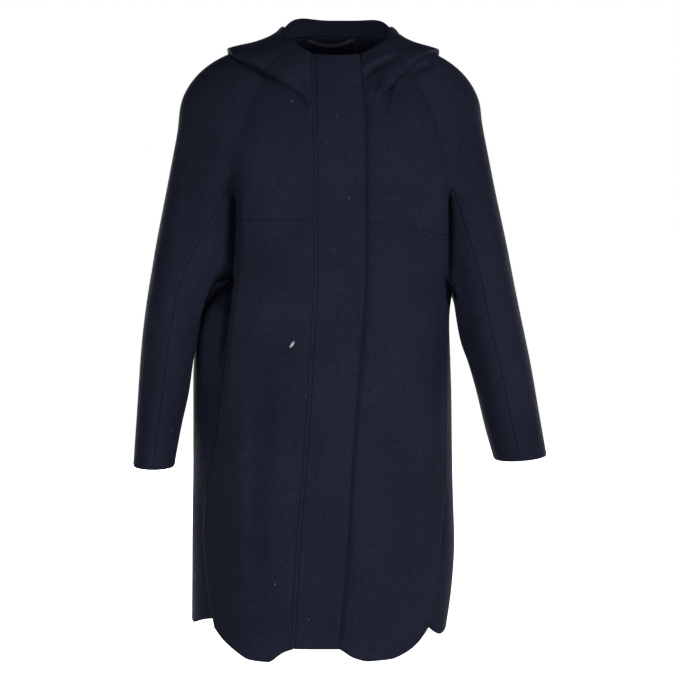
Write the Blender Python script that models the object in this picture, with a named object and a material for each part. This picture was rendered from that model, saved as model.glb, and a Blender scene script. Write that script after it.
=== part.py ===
"""Hooded wool coat, worn form with nobody in it: each cut piece is a thin wall of its own.

Metres, +Z up.  The front faces -Y, and the wearer's left is +X.
The origin is the middle of the neck base, where the shoulders carry the coat.
"""
import bisect
import functools
import math

import bpy
import numpy as np

# ---- driving sizes ----
WALL = 0.0025                # thickness of the double-faced cloth
SEAM_GAP = 0.0003            # between two pieces at a seam
LAP_DEPTH = 0.0038           # how far the left front sits behind the band
LAP_ANGLE = -20.0            # degrees round the neck at which the left front ends under the band
LAP_STEPS = 3

NECK_HALF_WIDTH = 0.075
NECK_HALF_DEPTH = 0.066
NECK_MID_HEIGHT = 0.0235
NECK_TILT = 0.0195           # the back of the neck base is this much above the middle

CHEST_Z = -0.19              # level where sleeve and body part, front and back
ARMPIT_Z = -0.32             # level where the body closes under the arm
ARMPIT_DIP = 0.018           # the middle of the underarm lies this much lower
SLIT_ROW = 8                 # body row at which the side slits start
BODY_ROWS = 13               # rows from the armpit level to the hem
YOKE_ROWS = 7
MID_X = -0.02                # middle of the body's sections
SECTION_POWER = 2.5          # roundness of the body's sections
RIGHT_SWING = 0.050          # the right side of the sections lies this much further back
SWING_TOP_Z = -0.350         # the swing grows from here
SWING_FULL_Z = -0.500        # to here
FRONT_DROP = 0.68            # 1 is a quarter ellipse from neck to chest, 0 a straight slope
SHOULDER_FULLNESS_RIGHT = 0.25   # 0 is a quarter ellipse over the shoulder, more is squarer
SHOULDER_FULLNESS_LEFT = 0.08
ARM_OPENING_ANGLE = 79.0     # degrees round the first sleeve ring, top to the parting point
ARM_OPENING_BOW = 0.036      # the first sleeve ring bends in this much towards the body

BAND_ANGLE = 25.3            # degrees round the neck, front middle to the band's edges
PART_ANGLE = 45.0            # degrees round the neck, front middle to the armhole column
BAND_STEPS = 3
PANEL_STEPS = (0.0, 0.08, 0.2, 0.36, 0.56, 0.78, 1.0)   # armhole column to band
OVER_STEPS = 12              # columns over each shoulder
BACK_STEPS = 14
SIDE_STEPS = 6

# Body sections: level, right and left side (wearer's), depth of front and back.
BODY_COLUMNS = ("z", "right_x", "left_x", "front", "back")
BODY = (
    (-0.190, -0.197, 0.190, 0.130, 0.118),
    (-0.260, -0.188, 0.188, 0.135, 0.124),
    (-0.320, -0.181, 0.178, 0.138, 0.128),
    (-0.352, -0.188, 0.171, 0.139, 0.130),
    (-0.384, -0.199, 0.168, 0.140, 0.131),
    (-0.430, -0.2125, 0.169, 0.140, 0.133),
    (-0.480, -0.2185, 0.171, 0.141, 0.134),
    (-0.568, -0.219, 0.1725, 0.143, 0.135),
    (-0.651, -0.220, 0.1745, 0.147, 0.137),
    (-0.719, -0.221, 0.1765, 0.150, 0.139),
    (-0.783, -0.2215, 0.173, 0.153, 0.141),
    (-0.860, -0.222, 0.162, 0.155, 0.143),
)

# Side edges of the front panels: level, edge on the wearer's right and left.
EDGE_COLUMNS = ("z", "right_x", "left_x")
EDGE = (
    (-0.190, -0.151, 0.1655),
    (-0.220, -0.146, 0.1650),
    (-0.260, -0.148, 0.1645),
    (-0.320, -0.154, 0.1600),
    (-0.380, -0.159, 0.1620),
    (-0.455, -0.167, 0.1610),
    (-0.530, -0.176, 0.1600),
    (-0.609, -0.188, 0.1590),
    (-0.656, -0.196, 0.1565),
    (-0.693, -0.199, 0.1535),
    (-0.730, -0.197, 0.1500),
    (-0.767, -0.193, 0.1460),
    (-0.804, -0.188, 0.1400),
    (-0.840, -0.180, 0.1330),
)

# The back's own edges below the slits: how far each runs on under the front panel's edge, and how
# far in behind it.
TUCK_COLUMNS = ("z", "right_under", "left_under", "inward")
TUCK = (
    (-0.640, -0.0004, -0.0004, 0.0045),
    (-0.700, -0.0004, -0.0004, 0.0045),
    (-0.750, 0.0040, 0.0040, 0.0050),
    (-0.800, 0.0040, 0.0030, 0.0050),
    (-0.850, -0.0050, -0.0090, 0.0050),
)

# Band edges: level, the sewn edge and the free edge.
BAND_COLUMNS = ("z", "sewn_x", "free_x")
BAND = (
    (-0.182, -0.028, 0.040),
    (-0.325, -0.028, 0.040),
    (-0.430, -0.034, 0.033),
    (-0.508, -0.038, 0.027),
    (-0.606, -0.045, 0.020),
    (-0.704, -0.053, 0.015),
    (-0.850, -0.061, 0.002),
)

# Front yoke seam and front hem: across the coat, level.
LINE_COLUMNS = ("place", "z")
YOKE_SEAM = ((-0.151, -0.236), (-0.030, -0.236), (0.042, -0.241), (0.091, -0.242),
             (0.115, -0.247), (0.138, -0.256), (0.165, -0.261))
FRONT_HEM = ((-0.183, -0.833), (-0.175, -0.843), (-0.158, -0.857), (-0.140, -0.867), (-0.118, -0.872),
             (-0.100, -0.872), (-0.085, -0.865), (-0.064, -0.854), (0.001, -0.854), (0.019, -0.864),
             (0.045, -0.870), (0.073, -0.869), (0.095, -0.865), (0.110, -0.858), (0.122, -0.848),
             (0.133, -0.832))
# Hem of the back: share of the way from the wearer's left slit round to the right one, level.
BACK_HEM = ((0.0, -0.832), (0.05, -0.848), (0.2, -0.848), (0.5, -0.846), (0.8, -0.846), (0.92, -0.843),
            (0.96, -0.832), (1.0, -0.823))

# Sleeve rings, shoulder to cuff: outer and inner line seen from the front, middle, half depth.
SLEEVE_COLUMNS = ("outer_x", "outer_z", "inner_x", "inner_z", "middle_y", "half_depth")
SLEEVE_LEFT = (
    (0.216, -0.091, 0.174, -0.338, 0.000, 0.086),
    (0.228, -0.155, 0.1765, -0.366, -0.004, 0.085),
    (0.240, -0.215, 0.180, -0.394, -0.010, 0.082),
    (0.252, -0.272, 0.184, -0.416, -0.016, 0.079),
    (0.262, -0.324, 0.189, -0.432, -0.020, 0.076),
    (0.271, -0.369, 0.195, -0.448, -0.023, 0.073),
    (0.288, -0.450, 0.209, -0.497, -0.026, 0.068),
    (0.302, -0.530, 0.221, -0.547, -0.029, 0.063),
    (0.312, -0.585, 0.234, -0.592, -0.030, 0.060),
)
SLEEVE_RIGHT = (
    (-0.237, -0.100, -0.182, -0.338, 0.000, 0.086),
    (-0.247, -0.158, -0.197, -0.366, -0.008, 0.085),
    (-0.258, -0.218, -0.2015, -0.390, -0.018, 0.082),
    (-0.269, -0.278, -0.206, -0.411, -0.026, 0.079),
    (-0.275, -0.315, -0.210, -0.430, -0.030, 0.076),
    (-0.281, -0.352, -0.214, -0.447, -0.033, 0.073),
    (-0.290, -0.425, -0.221, -0.495, -0.035, 0.068),
    (-0.297, -0.522, -0.232, -0.546, -0.036, 0.063),
    (-0.303, -0.600, -0.242, -0.602, -0.036, 0.060),
)
SLEEVE_ROWS = 12
OPENING_FADE = 0.45          # share of the sleeve over which the armhole's own form fades out

# Hood sections by angle round the neck (0 front, 90 wearer's left, 180 back).  Sizes run out from
# the neck base (seam, roll, edge) and up from the shoulders (crest, nose, top, edge_up);
# fold is 0 where the cloth runs flush into the front and 1 where its roll stands up in full.
HOOD_COLUMNS = ("angle", "seam", "roll", "nose", "top", "edge", "edge_up", "crest", "fold")
HOOD = (
    (25.8, 0.078, 0.079, 0.0045, 0.004, 0.000, 0.000, 0.003, 0.00),
    (31.0, 0.087, 0.089, 0.0060, 0.012, 0.000, 0.002, 0.003, 0.45),
    (34.0, 0.078, 0.087, 0.0055, 0.012, 0.000, 0.003, 0.003, 0.95),
    (37.0, 0.062, 0.078, 0.0045, 0.012, 0.000, 0.004, 0.003, 1.00),
    (42.0, 0.044, 0.066, 0.0045, 0.0135, 0.000, 0.007, 0.003, 1.00),
    (48.0, 0.031, 0.061, 0.0045, 0.0140, 0.000, 0.009, 0.003, 1.00),
    (57.0, 0.020, 0.060, 0.0045, 0.0140, 0.000, 0.011, 0.003, 1.00),
    (70.0, 0.014, 0.066, 0.0045, 0.0125, 0.001, 0.013, 0.003, 1.00),
    (90.0, 0.010, 0.080, 0.0045, 0.0095, 0.002, 0.015, 0.003, 1.00),
    (115.0, 0.006, 0.098, 0.0045, 0.0100, 0.006, 0.019, 0.005, 1.00),
    (127.0, 0.004, 0.125, 0.0060, 0.014, 0.020, 0.026, 0.012, 1.00),
    (140.0, 0.003, 0.160, 0.0070, 0.023, 0.036, 0.035, 0.031, 1.00),
    (160.0, 0.003, 0.210, 0.0080, 0.034, 0.052, 0.050, 0.053, 1.00),
    (180.0, 0.003, 0.240, 0.0090, 0.040, 0.060, 0.058, 0.064, 1.00),
    (200.0, 0.003, 0.210, 0.0080, 0.034, 0.052, 0.050, 0.054, 1.00),
    (220.0, 0.003, 0.160, 0.0065, 0.023, 0.036, 0.035, 0.032, 1.00),
    (233.0, 0.004, 0.130, 0.0055, 0.014, 0.020, 0.026, 0.012, 1.00),
    (245.0, 0.006, 0.108, 0.0045, 0.010, 0.008, 0.019, 0.005, 1.00),
    (270.0, 0.010, 0.090, 0.0045, 0.0095, 0.003, 0.015, 0.003, 1.00),
    (290.0, 0.014, 0.084, 0.0045, 0.0100, 0.001, 0.013, 0.003, 1.00),
    (306.0, 0.026, 0.070, 0.0045, 0.0115, 0.000, 0.011, 0.003, 1.00),
    (315.0, 0.042, 0.067, 0.0045, 0.0115, 0.000, 0.008, 0.003, 1.00),
    (322.0, 0.062, 0.078, 0.0048, 0.0120, 0.000, 0.005, 0.003, 1.00),
    (326.0, 0.078, 0.087, 0.0055, 0.012, 0.000, 0.003, 0.003, 0.95),
    (329.0, 0.087, 0.089, 0.0060, 0.012, 0.000, 0.002, 0.003, 0.45),
    (334.2, 0.086, 0.087, 0.0045, 0.004, 0.000, 0.000, 0.003, 0.00),
)
HOOD_START = 25.8            # the hood begins just clear of the band's edges
HOOD_STEPS_DOWN = 2          # rows between the points of a section
LEAST_ROLL = 0.014           # where the roll overhangs the seam this little its under layer is straight
FULL_ROLL = 0.045            # and where it overhangs this much it has its full form
HOOD_SEAM_LIFT = 0.0009      # and its seam edge this far, where it is rolled over
HOOD_LIFT = 0.0022           # the under layer lies this far off the shoulders

# The groove across the hood's left side: angle round the neck, distance out, depth.
GROOVE_COLUMNS = ("angle", "out", "depth")
GROOVE = (
    (25.8, 0.036, 0.0015),
    (35.0, 0.030, 0.0040),
    (50.0, 0.024, 0.0045),
    (65.0, 0.028, 0.0035),
    (80.0, 0.045, 0.0015),
    (92.0, 0.062, 0.0000),
)
GROOVE_HALF_WIDTH = 0.009

# Hanging loop inside the back neck: a strip sewn down at both ends, its middle hanging free.
LOOP_ENDS_X = (-0.041, 0.023)
LOOP_WIDTH = 0.006
LOOP_THICKNESS = 0.0014
LOOP_START = 0.0045          # from the neck base down to the strip's upper edge
LOOP_GAP = 0.0009            # between its ends and the back
LOOP_SAG = 0.013             # the middle hangs this much lower
LOOP_OUT = 0.0085            # and stands this far off
LOOP_STEPS = 12


@functools.lru_cache(maxsize=None)
def column(table, names, name):
    """One named column of a table."""
    return tuple(row[names.index(name)] for row in table)


@functools.lru_cache(maxsize=None)
def tangents_of(xs, ys):
    """Rows of a table in rising order, with a slope at each that never swings past its neighbours."""
    if xs[0] > xs[-1]:
        xs, ys = xs[::-1], ys[::-1]
    steps = [b - a for a, b in zip(xs, xs[1:])]
    slopes = [(b - a) / step for a, b, step in zip(ys, ys[1:], steps)]
    tangents = [0.0] * len(xs)
    tangents[0], tangents[-1] = slopes[0], slopes[-1]
    for i in range(1, len(xs) - 1):
        if slopes[i - 1] * slopes[i] > 0:
            weight = steps[i] / (steps[i - 1] + steps[i])
            tangents[i] = 1.0 / (weight / slopes[i - 1] + (1.0 - weight) / slopes[i])
    return xs, ys, steps, tangents


def smooth_read(x, xs, ys):
    """Read a table at x with a smooth curve."""
    xs, ys, steps, tangents = tangents_of(xs, ys)
    x = min(max(x, xs[0]), xs[-1])
    k = min(max(bisect.bisect_left(xs, x) - 1, 0), len(steps) - 1)
    t = (x - xs[k]) / steps[k]
    rise = ys[k] * (1 + 2 * t) * (1 - t) ** 2 + ys[k + 1] * t * t * (3 - 2 * t)
    return rise + steps[k] * (tangents[k] * t * (1 - t) ** 2 - tangents[k + 1] * t * t * (1 - t))


def level_on(line, place):
    """Level of a seam or hem line at a place along it."""
    return smooth_read(place, column(line, LINE_COLUMNS, "place"), column(line, LINE_COLUMNS, "z"))


def body(z, name):
    return smooth_read(z, column(BODY, BODY_COLUMNS, "z"), column(BODY, BODY_COLUMNS, name))


def edge_x(z, name):
    return smooth_read(z, column(EDGE, EDGE_COLUMNS, "z"), column(EDGE, EDGE_COLUMNS, name))


def tuck(z, name):
    return smooth_read(z, column(TUCK, TUCK_COLUMNS, "z"), column(TUCK, TUCK_COLUMNS, name))


def band_x(z, name):
    return smooth_read(z, column(BAND, BAND_COLUMNS, "z"), column(BAND, BAND_COLUMNS, name))


def swing(x, z, share):
    """How far back the coat's right side hangs, by share of the half width."""
    if x > MID_X:
        return 0.0
    grown = min(max((SWING_TOP_Z - z) / (SWING_TOP_Z - SWING_FULL_Z), 0.0), 1.0)
    return RIGHT_SWING * share ** 3 * grown


def spread(x, z):
    """Share of the section's half width at x, from 0 in the middle to 1 at the side."""
    side = body(z, "left_x") if x > MID_X else body(z, "right_x")
    return min(abs((x - MID_X) / (side - MID_X)), 1.0)


def body_at_x(x, z, face):
    """Point of the body's front or back at a given x and level."""
    share = spread(x, z)
    depth = body(z, face) * (1.0 - share ** SECTION_POWER) ** (1.0 / SECTION_POWER)
    return np.array([x, (-depth if face == "front" else depth) + swing(x, z, share), z])


def body_at_turn(turn, z):
    """Point of the body's section by angle: 0 front, 90 wearer's left, 180 back, 270 right."""
    sine, cosine = math.sin(math.radians(turn)), math.cos(math.radians(turn))
    side = body(z, "left_x") if sine > 0 else body(z, "right_x")
    depth = body(z, "front") if cosine > 0 else body(z, "back")
    across = abs(sine) ** (2.0 / SECTION_POWER)
    along = abs(cosine) ** (2.0 / SECTION_POWER)
    x = MID_X + (side - MID_X) * across
    return np.array([x, -math.copysign(depth * along, cosine) + swing(x, z, across), z])


def turn_of_x(x, z):
    """Angle off the section's front or back middle at which it reaches x."""
    return math.degrees(math.asin(spread(x, z) ** (SECTION_POWER / 2.0)))


def sleeve_frame(table, t):
    """Outer and inner line, middle and half depth of a sleeve at share t of its length."""
    stations = tuple(i / (len(table) - 1) for i in range(len(table)))
    return [smooth_read(t, stations, column(table, SLEEVE_COLUMNS, name)) for name in SLEEVE_COLUMNS]


def sleeve_ring(table, turn, t):
    """Point of a sleeve: turn 0 is the outer line, 90 the front, 180 the inner line."""
    outer_x, outer_z, inner_x, inner_z, middle_y, half_depth = sleeve_frame(table, t)
    middle = np.array([(outer_x + inner_x) / 2, middle_y, (outer_z + inner_z) / 2])
    reach = np.array([(outer_x - inner_x) / 2, 0.0, (outer_z - inner_z) / 2])
    length = np.linalg.norm(reach)
    inward = np.array([-reach[2], 0.0, reach[0]]) / length
    inward *= math.copysign(1.0, -inward[0] * outer_x)
    bow = ARM_OPENING_BOW * max(0.0, 1.0 - t / OPENING_FADE) ** 2
    sine, cosine = math.sin(math.radians(turn)), math.cos(math.radians(turn))
    depth = np.array([0.0, -half_depth, 0.0])
    return middle + reach * cosine + depth * sine + inward * bow * sine * sine


@functools.lru_cache(maxsize=None)
def neck_point(angle):
    """Neck base loop by angle: 0 front, 90 wearer's left, 180 back."""
    sine, cosine = math.sin(math.radians(angle)), math.cos(math.radians(angle))
    return np.array([NECK_HALF_WIDTH * sine, -NECK_HALF_DEPTH * cosine, NECK_MID_HEIGHT - NECK_TILT * cosine])


def over_shoulder(table, share):
    """First sleeve ring over the shoulder, from the front parting point (0) to the back one (1)."""
    turn = ARM_OPENING_ANGLE * (1.0 - 2.0 * share)
    side = "left_x" if table is SLEEVE_LEFT else "right_x"
    face = "front" if share < 0.5 else "back"
    part = body_at_x(edge_x(CHEST_Z, side), CHEST_Z, face)
    end = sleeve_ring(table, math.copysign(ARM_OPENING_ANGLE, turn), 0.0)
    return sleeve_ring(table, turn, 0.0) + (part - end) * (2.0 * share - 1.0) ** 2


@functools.lru_cache(maxsize=None)
def chest_point(angle):
    """Loop at chest level by angle round the neck: fronts, over both shoulders, and back."""
    angle = (angle + PART_ANGLE) % 360.0 - PART_ANGLE
    if angle <= PART_ANGLE:
        marks = (-PART_ANGLE, -BAND_ANGLE, BAND_ANGLE, PART_ANGLE)
        xs = (edge_x(CHEST_Z, "right_x"), band_x(CHEST_Z, "sewn_x"), band_x(CHEST_Z, "free_x"),
              edge_x(CHEST_Z, "left_x"))
        return body_at_x(float(np.interp(angle, marks, xs)), CHEST_Z, "front")
    if angle < 180.0 - PART_ANGLE:
        return over_shoulder(SLEEVE_LEFT, (angle - PART_ANGLE) / (180.0 - 2 * PART_ANGLE))
    if angle <= 180.0 + PART_ANGLE:
        share = (angle - 180.0 + PART_ANGLE) / (2 * PART_ANGLE)
        left, right = edge_x(CHEST_Z, "left_x"), edge_x(CHEST_Z, "right_x")
        return body_at_x(left + (right - left) * share, CHEST_Z, "back")
    share = (angle - 180.0 - PART_ANGLE) / (180.0 - 2 * PART_ANGLE)
    return over_shoulder(SLEEVE_RIGHT, 1.0 - share)


def yoke_point(angle, s):
    """Point between the neck base (s = 0) and the chest loop (s = 1)."""
    start, end = neck_point(angle), chest_point(angle)
    sideways = math.sin(math.radians(angle))
    round_over = FRONT_DROP + (1.0 - FRONT_DROP) * sideways ** 2
    full = SHOULDER_FULLNESS_RIGHT if sideways < 0 else SHOULDER_FULLNESS_LEFT
    power = 2.0 + full * sideways ** 2
    out = math.sin(s * math.pi / 2)
    down = round_over * (1.0 - (1.0 - out ** power) ** (1.0 / power)) + (1.0 - round_over) * out
    point = start + (end - start) * out
    point[2] = start[2] + (end[2] - start[2]) * down
    return point


@functools.lru_cache(maxsize=None)
def surface_line(angle):
    """Points from the neck base outward at one angle, and their distances along the cloth."""
    line = [yoke_point(angle, s) for s in np.linspace(0.0, 1.0, 25)]
    for step in range(1, 9):
        line.append(line[24] + np.array([0.0, 0.0, -step * 0.02]))
    line = np.array(line)
    if 180.0 - PART_ANGLE <= angle <= 180.0 + PART_ANGLE:
        line[25:] = [body_at_x(p[0], p[2], "back") for p in line[25:]]
    lengths = np.concatenate([[0.0], np.cumsum(np.linalg.norm(np.diff(line, axis=0), axis=1))])
    return line, lengths


def surface_point(angle, distance):
    """Point of the shoulders at a distance outward from the neck base."""
    line, lengths = surface_line(angle % 360.0)
    if distance < 0:
        return line[0] + (line[0] - line[1]) / np.linalg.norm(line[0] - line[1]) * -distance
    return np.array([np.interp(distance, lengths, line[:, axis]) for axis in range(3)])


def surface_normal(angle, distance):
    """Outward normal of the shoulders there."""
    along = surface_point(angle, distance + 0.006) - surface_point(angle, max(distance - 0.006, 0.0))
    across = surface_point(angle + 2.0, distance) - surface_point(angle - 2.0, distance)
    normal = np.cross(along, across)
    return normal / np.linalg.norm(normal)


def hood_size(angle, name):
    return smooth_read(angle, column(HOOD, HOOD_COLUMNS, "angle"), column(HOOD, HOOD_COLUMNS, name))


def groove(angle, name):
    return smooth_read(angle, column(GROOVE, GROOVE_COLUMNS, "angle"), column(GROOVE, GROOVE_COLUMNS, name))


def share_at_distance(angle, distance):
    """Share s of yoke_point that lies a distance from the neck base."""
    _, lengths = surface_line(angle % 360.0)
    return float(np.interp(distance, lengths[:25], np.linspace(0.0, 1.0, 25)))


# ---- nets of points: the whole outer surface, shared by the pieces ----
class Net:
    """Quads on shared points, each quad named for the piece it belongs to."""

    def __init__(self):
        self.points = []
        self.index = {}
        self.faces = []

    def point(self, position, layer=0):
        key = tuple(int(round(value * 1e6)) for value in position) + (layer,)
        if key not in self.index:
            self.index[key] = len(self.points)
            self.points.append(np.array(position, dtype=float))
        return self.index[key]

    def grid(self, rows, piece, flip=False, apart=()):
        """Add the quads of rows of points; piece is a name or a function of (row, column).

        The first row's columns in apart do not share their points with other grids.
        """
        numbers = [[self.point(p, 1 if r == 0 and c in apart else 0) for c, p in enumerate(row)]
                   for r, row in enumerate(rows)]
        for r in range(len(numbers) - 1):
            for c in range(len(numbers[r]) - 1):
                quad = [numbers[r][c], numbers[r + 1][c], numbers[r + 1][c + 1], numbers[r][c + 1]]
                name = piece(r, c) if callable(piece) else piece
                self.faces.append((quad[::-1] if flip else quad, name))

    def normals(self):
        """Outward unit normal at every point, by area."""
        points = np.array(self.points)
        normals = np.zeros_like(points)
        for quad, _ in self.faces:
            a, b, c, d = points[quad]
            cross = np.cross(c - a, d - b)
            for number in quad:
                normals[number] += cross
        return normals / np.maximum(np.linalg.norm(normals, axis=1, keepdims=True), 1e-12)


def open_edges(faces):
    """Directed edges that only one face has."""
    seen = {}
    for quad in faces:
        for a, b in zip(quad, quad[1:] + quad[:1]):
            seen[(a, b)] = quad
    return {edge: quad for edge, quad in seen.items() if edge[::-1] not in seen}


def wall_of_piece(net, normals, name):
    """Closed wall of one piece: its points, the same points WALL deeper, and the rims."""
    faces = [quad for quad, piece in net.faces if piece == name]
    rim = open_edges(faces)
    pull = {}
    for (a, b), quad in rim.items():
        middle = sum(net.points[number] for number in quad) / len(quad)
        along = net.points[b] - net.points[a]
        along /= np.linalg.norm(along)
        inward = middle - net.points[a]
        inward -= along * inward.dot(along)
        inward /= np.linalg.norm(inward)
        for number in (a, b):
            pull.setdefault(number, []).append(inward)
    used = sorted({number for quad in faces for number in quad})
    place = {number: i for i, number in enumerate(used)}
    outer = []
    for number in used:
        point = net.points[number].copy()
        if number in pull:
            total = sum(pull[number])
            total /= max(np.linalg.norm(total), 1e-9)
            reach = max(total.dot(pull[number][0]), 0.2)
            point += total * (SEAM_GAP / 2) / reach
        outer.append(point)
    inner = [outer[place[number]] - normals[number] * WALL for number in used]
    count = len(used)
    quads = [[place[n] for n in quad] for quad in faces]
    quads += [[place[n] + count for n in quad[:1] + quad[:0:-1]] for quad in faces]
    quads += [rim_quad(net, place, count, a, b) for a, b in rim]
    return outer + inner, quads


def rim_quad(net, place, count, a, b):
    """Quad across the wall along an edge; its diagonal is the same on both sides of a seam."""
    quad = [place[b], place[a], place[a] + count, place[b] + count]
    if tuple(net.points[a].round(6)) < tuple(net.points[b].round(6)):
        return quad[1:] + quad[:1]
    return quad


# ---- the coat's surface ----
def band_grid():
    """Rows of points across the band, from the neck to the hem."""
    rows = []
    for s in np.linspace(0.0, 1.0, YOKE_ROWS + 1):
        angles = np.linspace(-BAND_ANGLE, BAND_ANGLE, BAND_STEPS + 1)
        rows.append([yoke_point(angle, s) for angle in angles])
    for levels in front_levels()[1:]:
        rows.append(front_row(levels, "sewn_x", "free_x", np.linspace(0.0, 1.0, BAND_STEPS + 1)))
    return rows


def front_levels():
    """Rows of the fronts below the chest loop: each a function of x that gives the level."""
    def yoke_seam(x):
        return level_on(YOKE_SEAM, x)

    def hem_level(x):
        return level_on(FRONT_HEM, x)

    levels = [lambda x: CHEST_Z, yoke_seam, lambda x: (yoke_seam(x) + ARMPIT_Z) / 2]
    for row in range(BODY_ROWS + 1):
        share = row / BODY_ROWS
        levels.append(lambda x, share=share: ARMPIT_Z + (hem_level(x) - ARMPIT_Z) * share)
    return levels


def front_x(name, z):
    return band_x(z, name) if name in ("sewn_x", "free_x") else edge_x(z, name)


def front_row(level, start, end, shares):
    """Points across a stretch of the front, between two named edges."""
    row = []
    for share in shares:
        z = level(0.0)
        for _ in range(6):
            x = front_x(start, z) + (front_x(end, z) - front_x(start, z)) * share
            z = level(x)
        row.append(body_at_x(x, z, "front"))
    return row


def panel_grid(side):
    """Rows of a front between its armhole column and the band, from the neck seam to the hem."""
    edge, band_edge = ("right_x", "sewn_x") if side == "right" else ("left_x", "free_x")
    sign = -1.0 if side == "right" else 1.0
    angles = [sign * (PART_ANGLE + (BAND_ANGLE - PART_ANGLE) * share) for share in PANEL_STEPS]
    rows = yoke_rows(angles)
    for level in front_levels()[1:]:
        rows.append(front_row(level, edge, band_edge, PANEL_STEPS))
    if side == "left":
        rows = [row[::-1] for row in rows]
    return rows


def yoke_rows(angles):
    """Rows from the hood's seam to the chest loop."""
    rows = []
    starts = []
    for angle in angles:
        around = angle % 360.0
        lapped = around < HOOD_START or around > 360.0 - BAND_ANGLE - 0.001
        starts.append(share_at_distance(around, hood_size(HOOD_START if lapped and angle > LAP_ANGLE - 1
                                                          else around, "seam")))
    for share in np.linspace(0.0, 1.0, YOKE_ROWS + 1):
        rows.append([yoke_point(angle, start + (1.0 - start) * share)
                     for angle, start in zip(angles, starts)])
    return rows


def shoulder_rows(side):
    first = PART_ANGLE if side == "left" else 180.0 + PART_ANGLE
    return yoke_rows(list(np.linspace(first, first + 180.0 - 2 * PART_ANGLE, OVER_STEPS + 1)))


def back_rows():
    """Rows of the back between its armhole columns, from the hood's seam to the armpit level."""
    angles = list(np.linspace(180.0 - PART_ANGLE, 180.0 + PART_ANGLE, BACK_STEPS + 1))
    rows = yoke_rows(angles)
    front = front_levels()
    for level_number in (1, 2, 3):
        row = []
        for share in np.linspace(0.0, 1.0, BACK_STEPS + 1):
            z_left, z_right = front[level_number](0.165), front[level_number](-0.151)
            z = z_left + (z_right - z_left) * share
            left, right = edge_x(z, "left_x"), edge_x(z, "right_x")
            row.append(body_at_x(left + (right - left) * share, z, "back"))
        rows.append(row)
    return rows


def wrap_rows():
    """Rows of the back with both side strips, from the armpit level to the hem."""
    rows = []
    for row_number in range(BODY_ROWS + 1):
        down = row_number / BODY_ROWS
        count = 2 * SIDE_STEPS + BACK_STEPS
        row = []
        for c in range(count + 1):
            around = c / count
            top = ARMPIT_Z - ARMPIT_DIP * underarm_dip(c, count)
            z = top + (level_on(BACK_HEM, around) - top) * down
            row.append(wrap_point(c, z, row_number))
        rows.append(row)
    front_ends = panel_grid("left"), panel_grid("right")
    offset = YOKE_ROWS + 3
    for row_number in range(SLIT_ROW + 1):
        rows[row_number][0] = front_ends[0][offset + row_number][-1]
        rows[row_number][-1] = front_ends[1][offset + row_number][0]
    return rows


def underarm_dip(c, count):
    """How far the underarm curve has dropped at a column of the back's wrap, 0 to 1."""
    if c <= SIDE_STEPS:
        return math.sin(math.pi * c / SIDE_STEPS)
    if c >= count - SIDE_STEPS:
        return math.sin(math.pi * (count - c) / SIDE_STEPS)
    return 0.0


def wrap_point(c, z, row_number):
    """Point of the back's wrap: left side strip, back, right side strip."""
    count = 2 * SIDE_STEPS + BACK_STEPS
    back_left = turn_of_x(edge_x(max(z, -0.6), "left_x"), z)
    back_right = turn_of_x(edge_x(max(z, -0.6), "right_x"), z)
    slit = row_number > SLIT_ROW
    if c <= SIDE_STEPS:
        x = edge_x(z, "left_x") - (tuck(z, "left_under") if slit else 0.0)
        first, last = turn_of_x(x, z), 180.0 - back_left
        share = c / SIDE_STEPS
        point = body_at_turn(first + (last - first) * share, z)
        return tuck_in(point, z, share) if slit else point
    if c >= count - SIDE_STEPS:
        x = edge_x(z, "right_x") + (tuck(z, "right_under") if slit else 0.0)
        first, last = 180.0 + back_right, 360.0 - turn_of_x(x, z)
        share = (count - c) / SIDE_STEPS
        point = body_at_turn(last + (first - last) * share, z)
        return tuck_in(point, z, share) if slit else point
    share = (c - SIDE_STEPS) / BACK_STEPS
    left = edge_x(max(z, -0.6), "left_x")
    right = edge_x(max(z, -0.6), "right_x")
    return body_at_x(left + (right - left) * share, z, "back")


def tuck_in(point, z, share):
    """Move a side strip's edge in behind the front panel; the next column keeps its place."""
    inward = tuck(z, "inward") * max(0.0, 1.0 - share * SIDE_STEPS / 1.5)
    side = body(z, "left_x") if point[0] > MID_X else body(z, "right_x")
    reach = spread(point[0], z)
    across = reach ** (SECTION_POWER - 1.0) / (MID_X - side)
    along = (1.0 - reach ** SECTION_POWER) ** (1.0 - 1.0 / SECTION_POWER) / body(z, "front")
    toward = np.array([across, along, 0.0])
    return point + toward / np.linalg.norm(toward) * inward


def sleeve_rows(side, ring):
    """Rings of a sleeve from the armhole's own points to the cuff."""
    table = SLEEVE_LEFT if side == "left" else SLEEVE_RIGHT
    count = len(ring)
    first = opening_turns(side, count)
    rows = []
    for row_number in range(SLEEVE_ROWS + 1):
        t = row_number / SLEEVE_ROWS
        fade = max(0.0, 1.0 - t / OPENING_FADE) ** 2
        row = []
        for j in range(count):
            even = even_turn(side, j, count - 1)
            turn = even + (first[j] - even) * max(0.0, 1.0 - t / OPENING_FADE)
            point = sleeve_ring(table, turn, t)
            row.append(point + (ring[j] - sleeve_ring(table, first[j], 0.0)) * fade)
        rows.append(row)
    return rows


UNDER_SEAM_TURN = 97.0       # the under sleeve's seams, degrees round from the outer line
LEG_TURNS = (108.0, 122.0, 140.0)   # armhole points below the parting point at the first ring


def even_turn(side, j, count):
    """Turn of a sleeve's column j once the armhole's form has faded."""
    under = count - OVER_STEPS
    if j <= OVER_STEPS:
        turn = UNDER_SEAM_TURN * (1.0 - 2.0 * j / OVER_STEPS)
    else:
        turn = -UNDER_SEAM_TURN - (360.0 - 2 * UNDER_SEAM_TURN) * (j - OVER_STEPS) / under
    return turn if side == "left" else -turn


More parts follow.
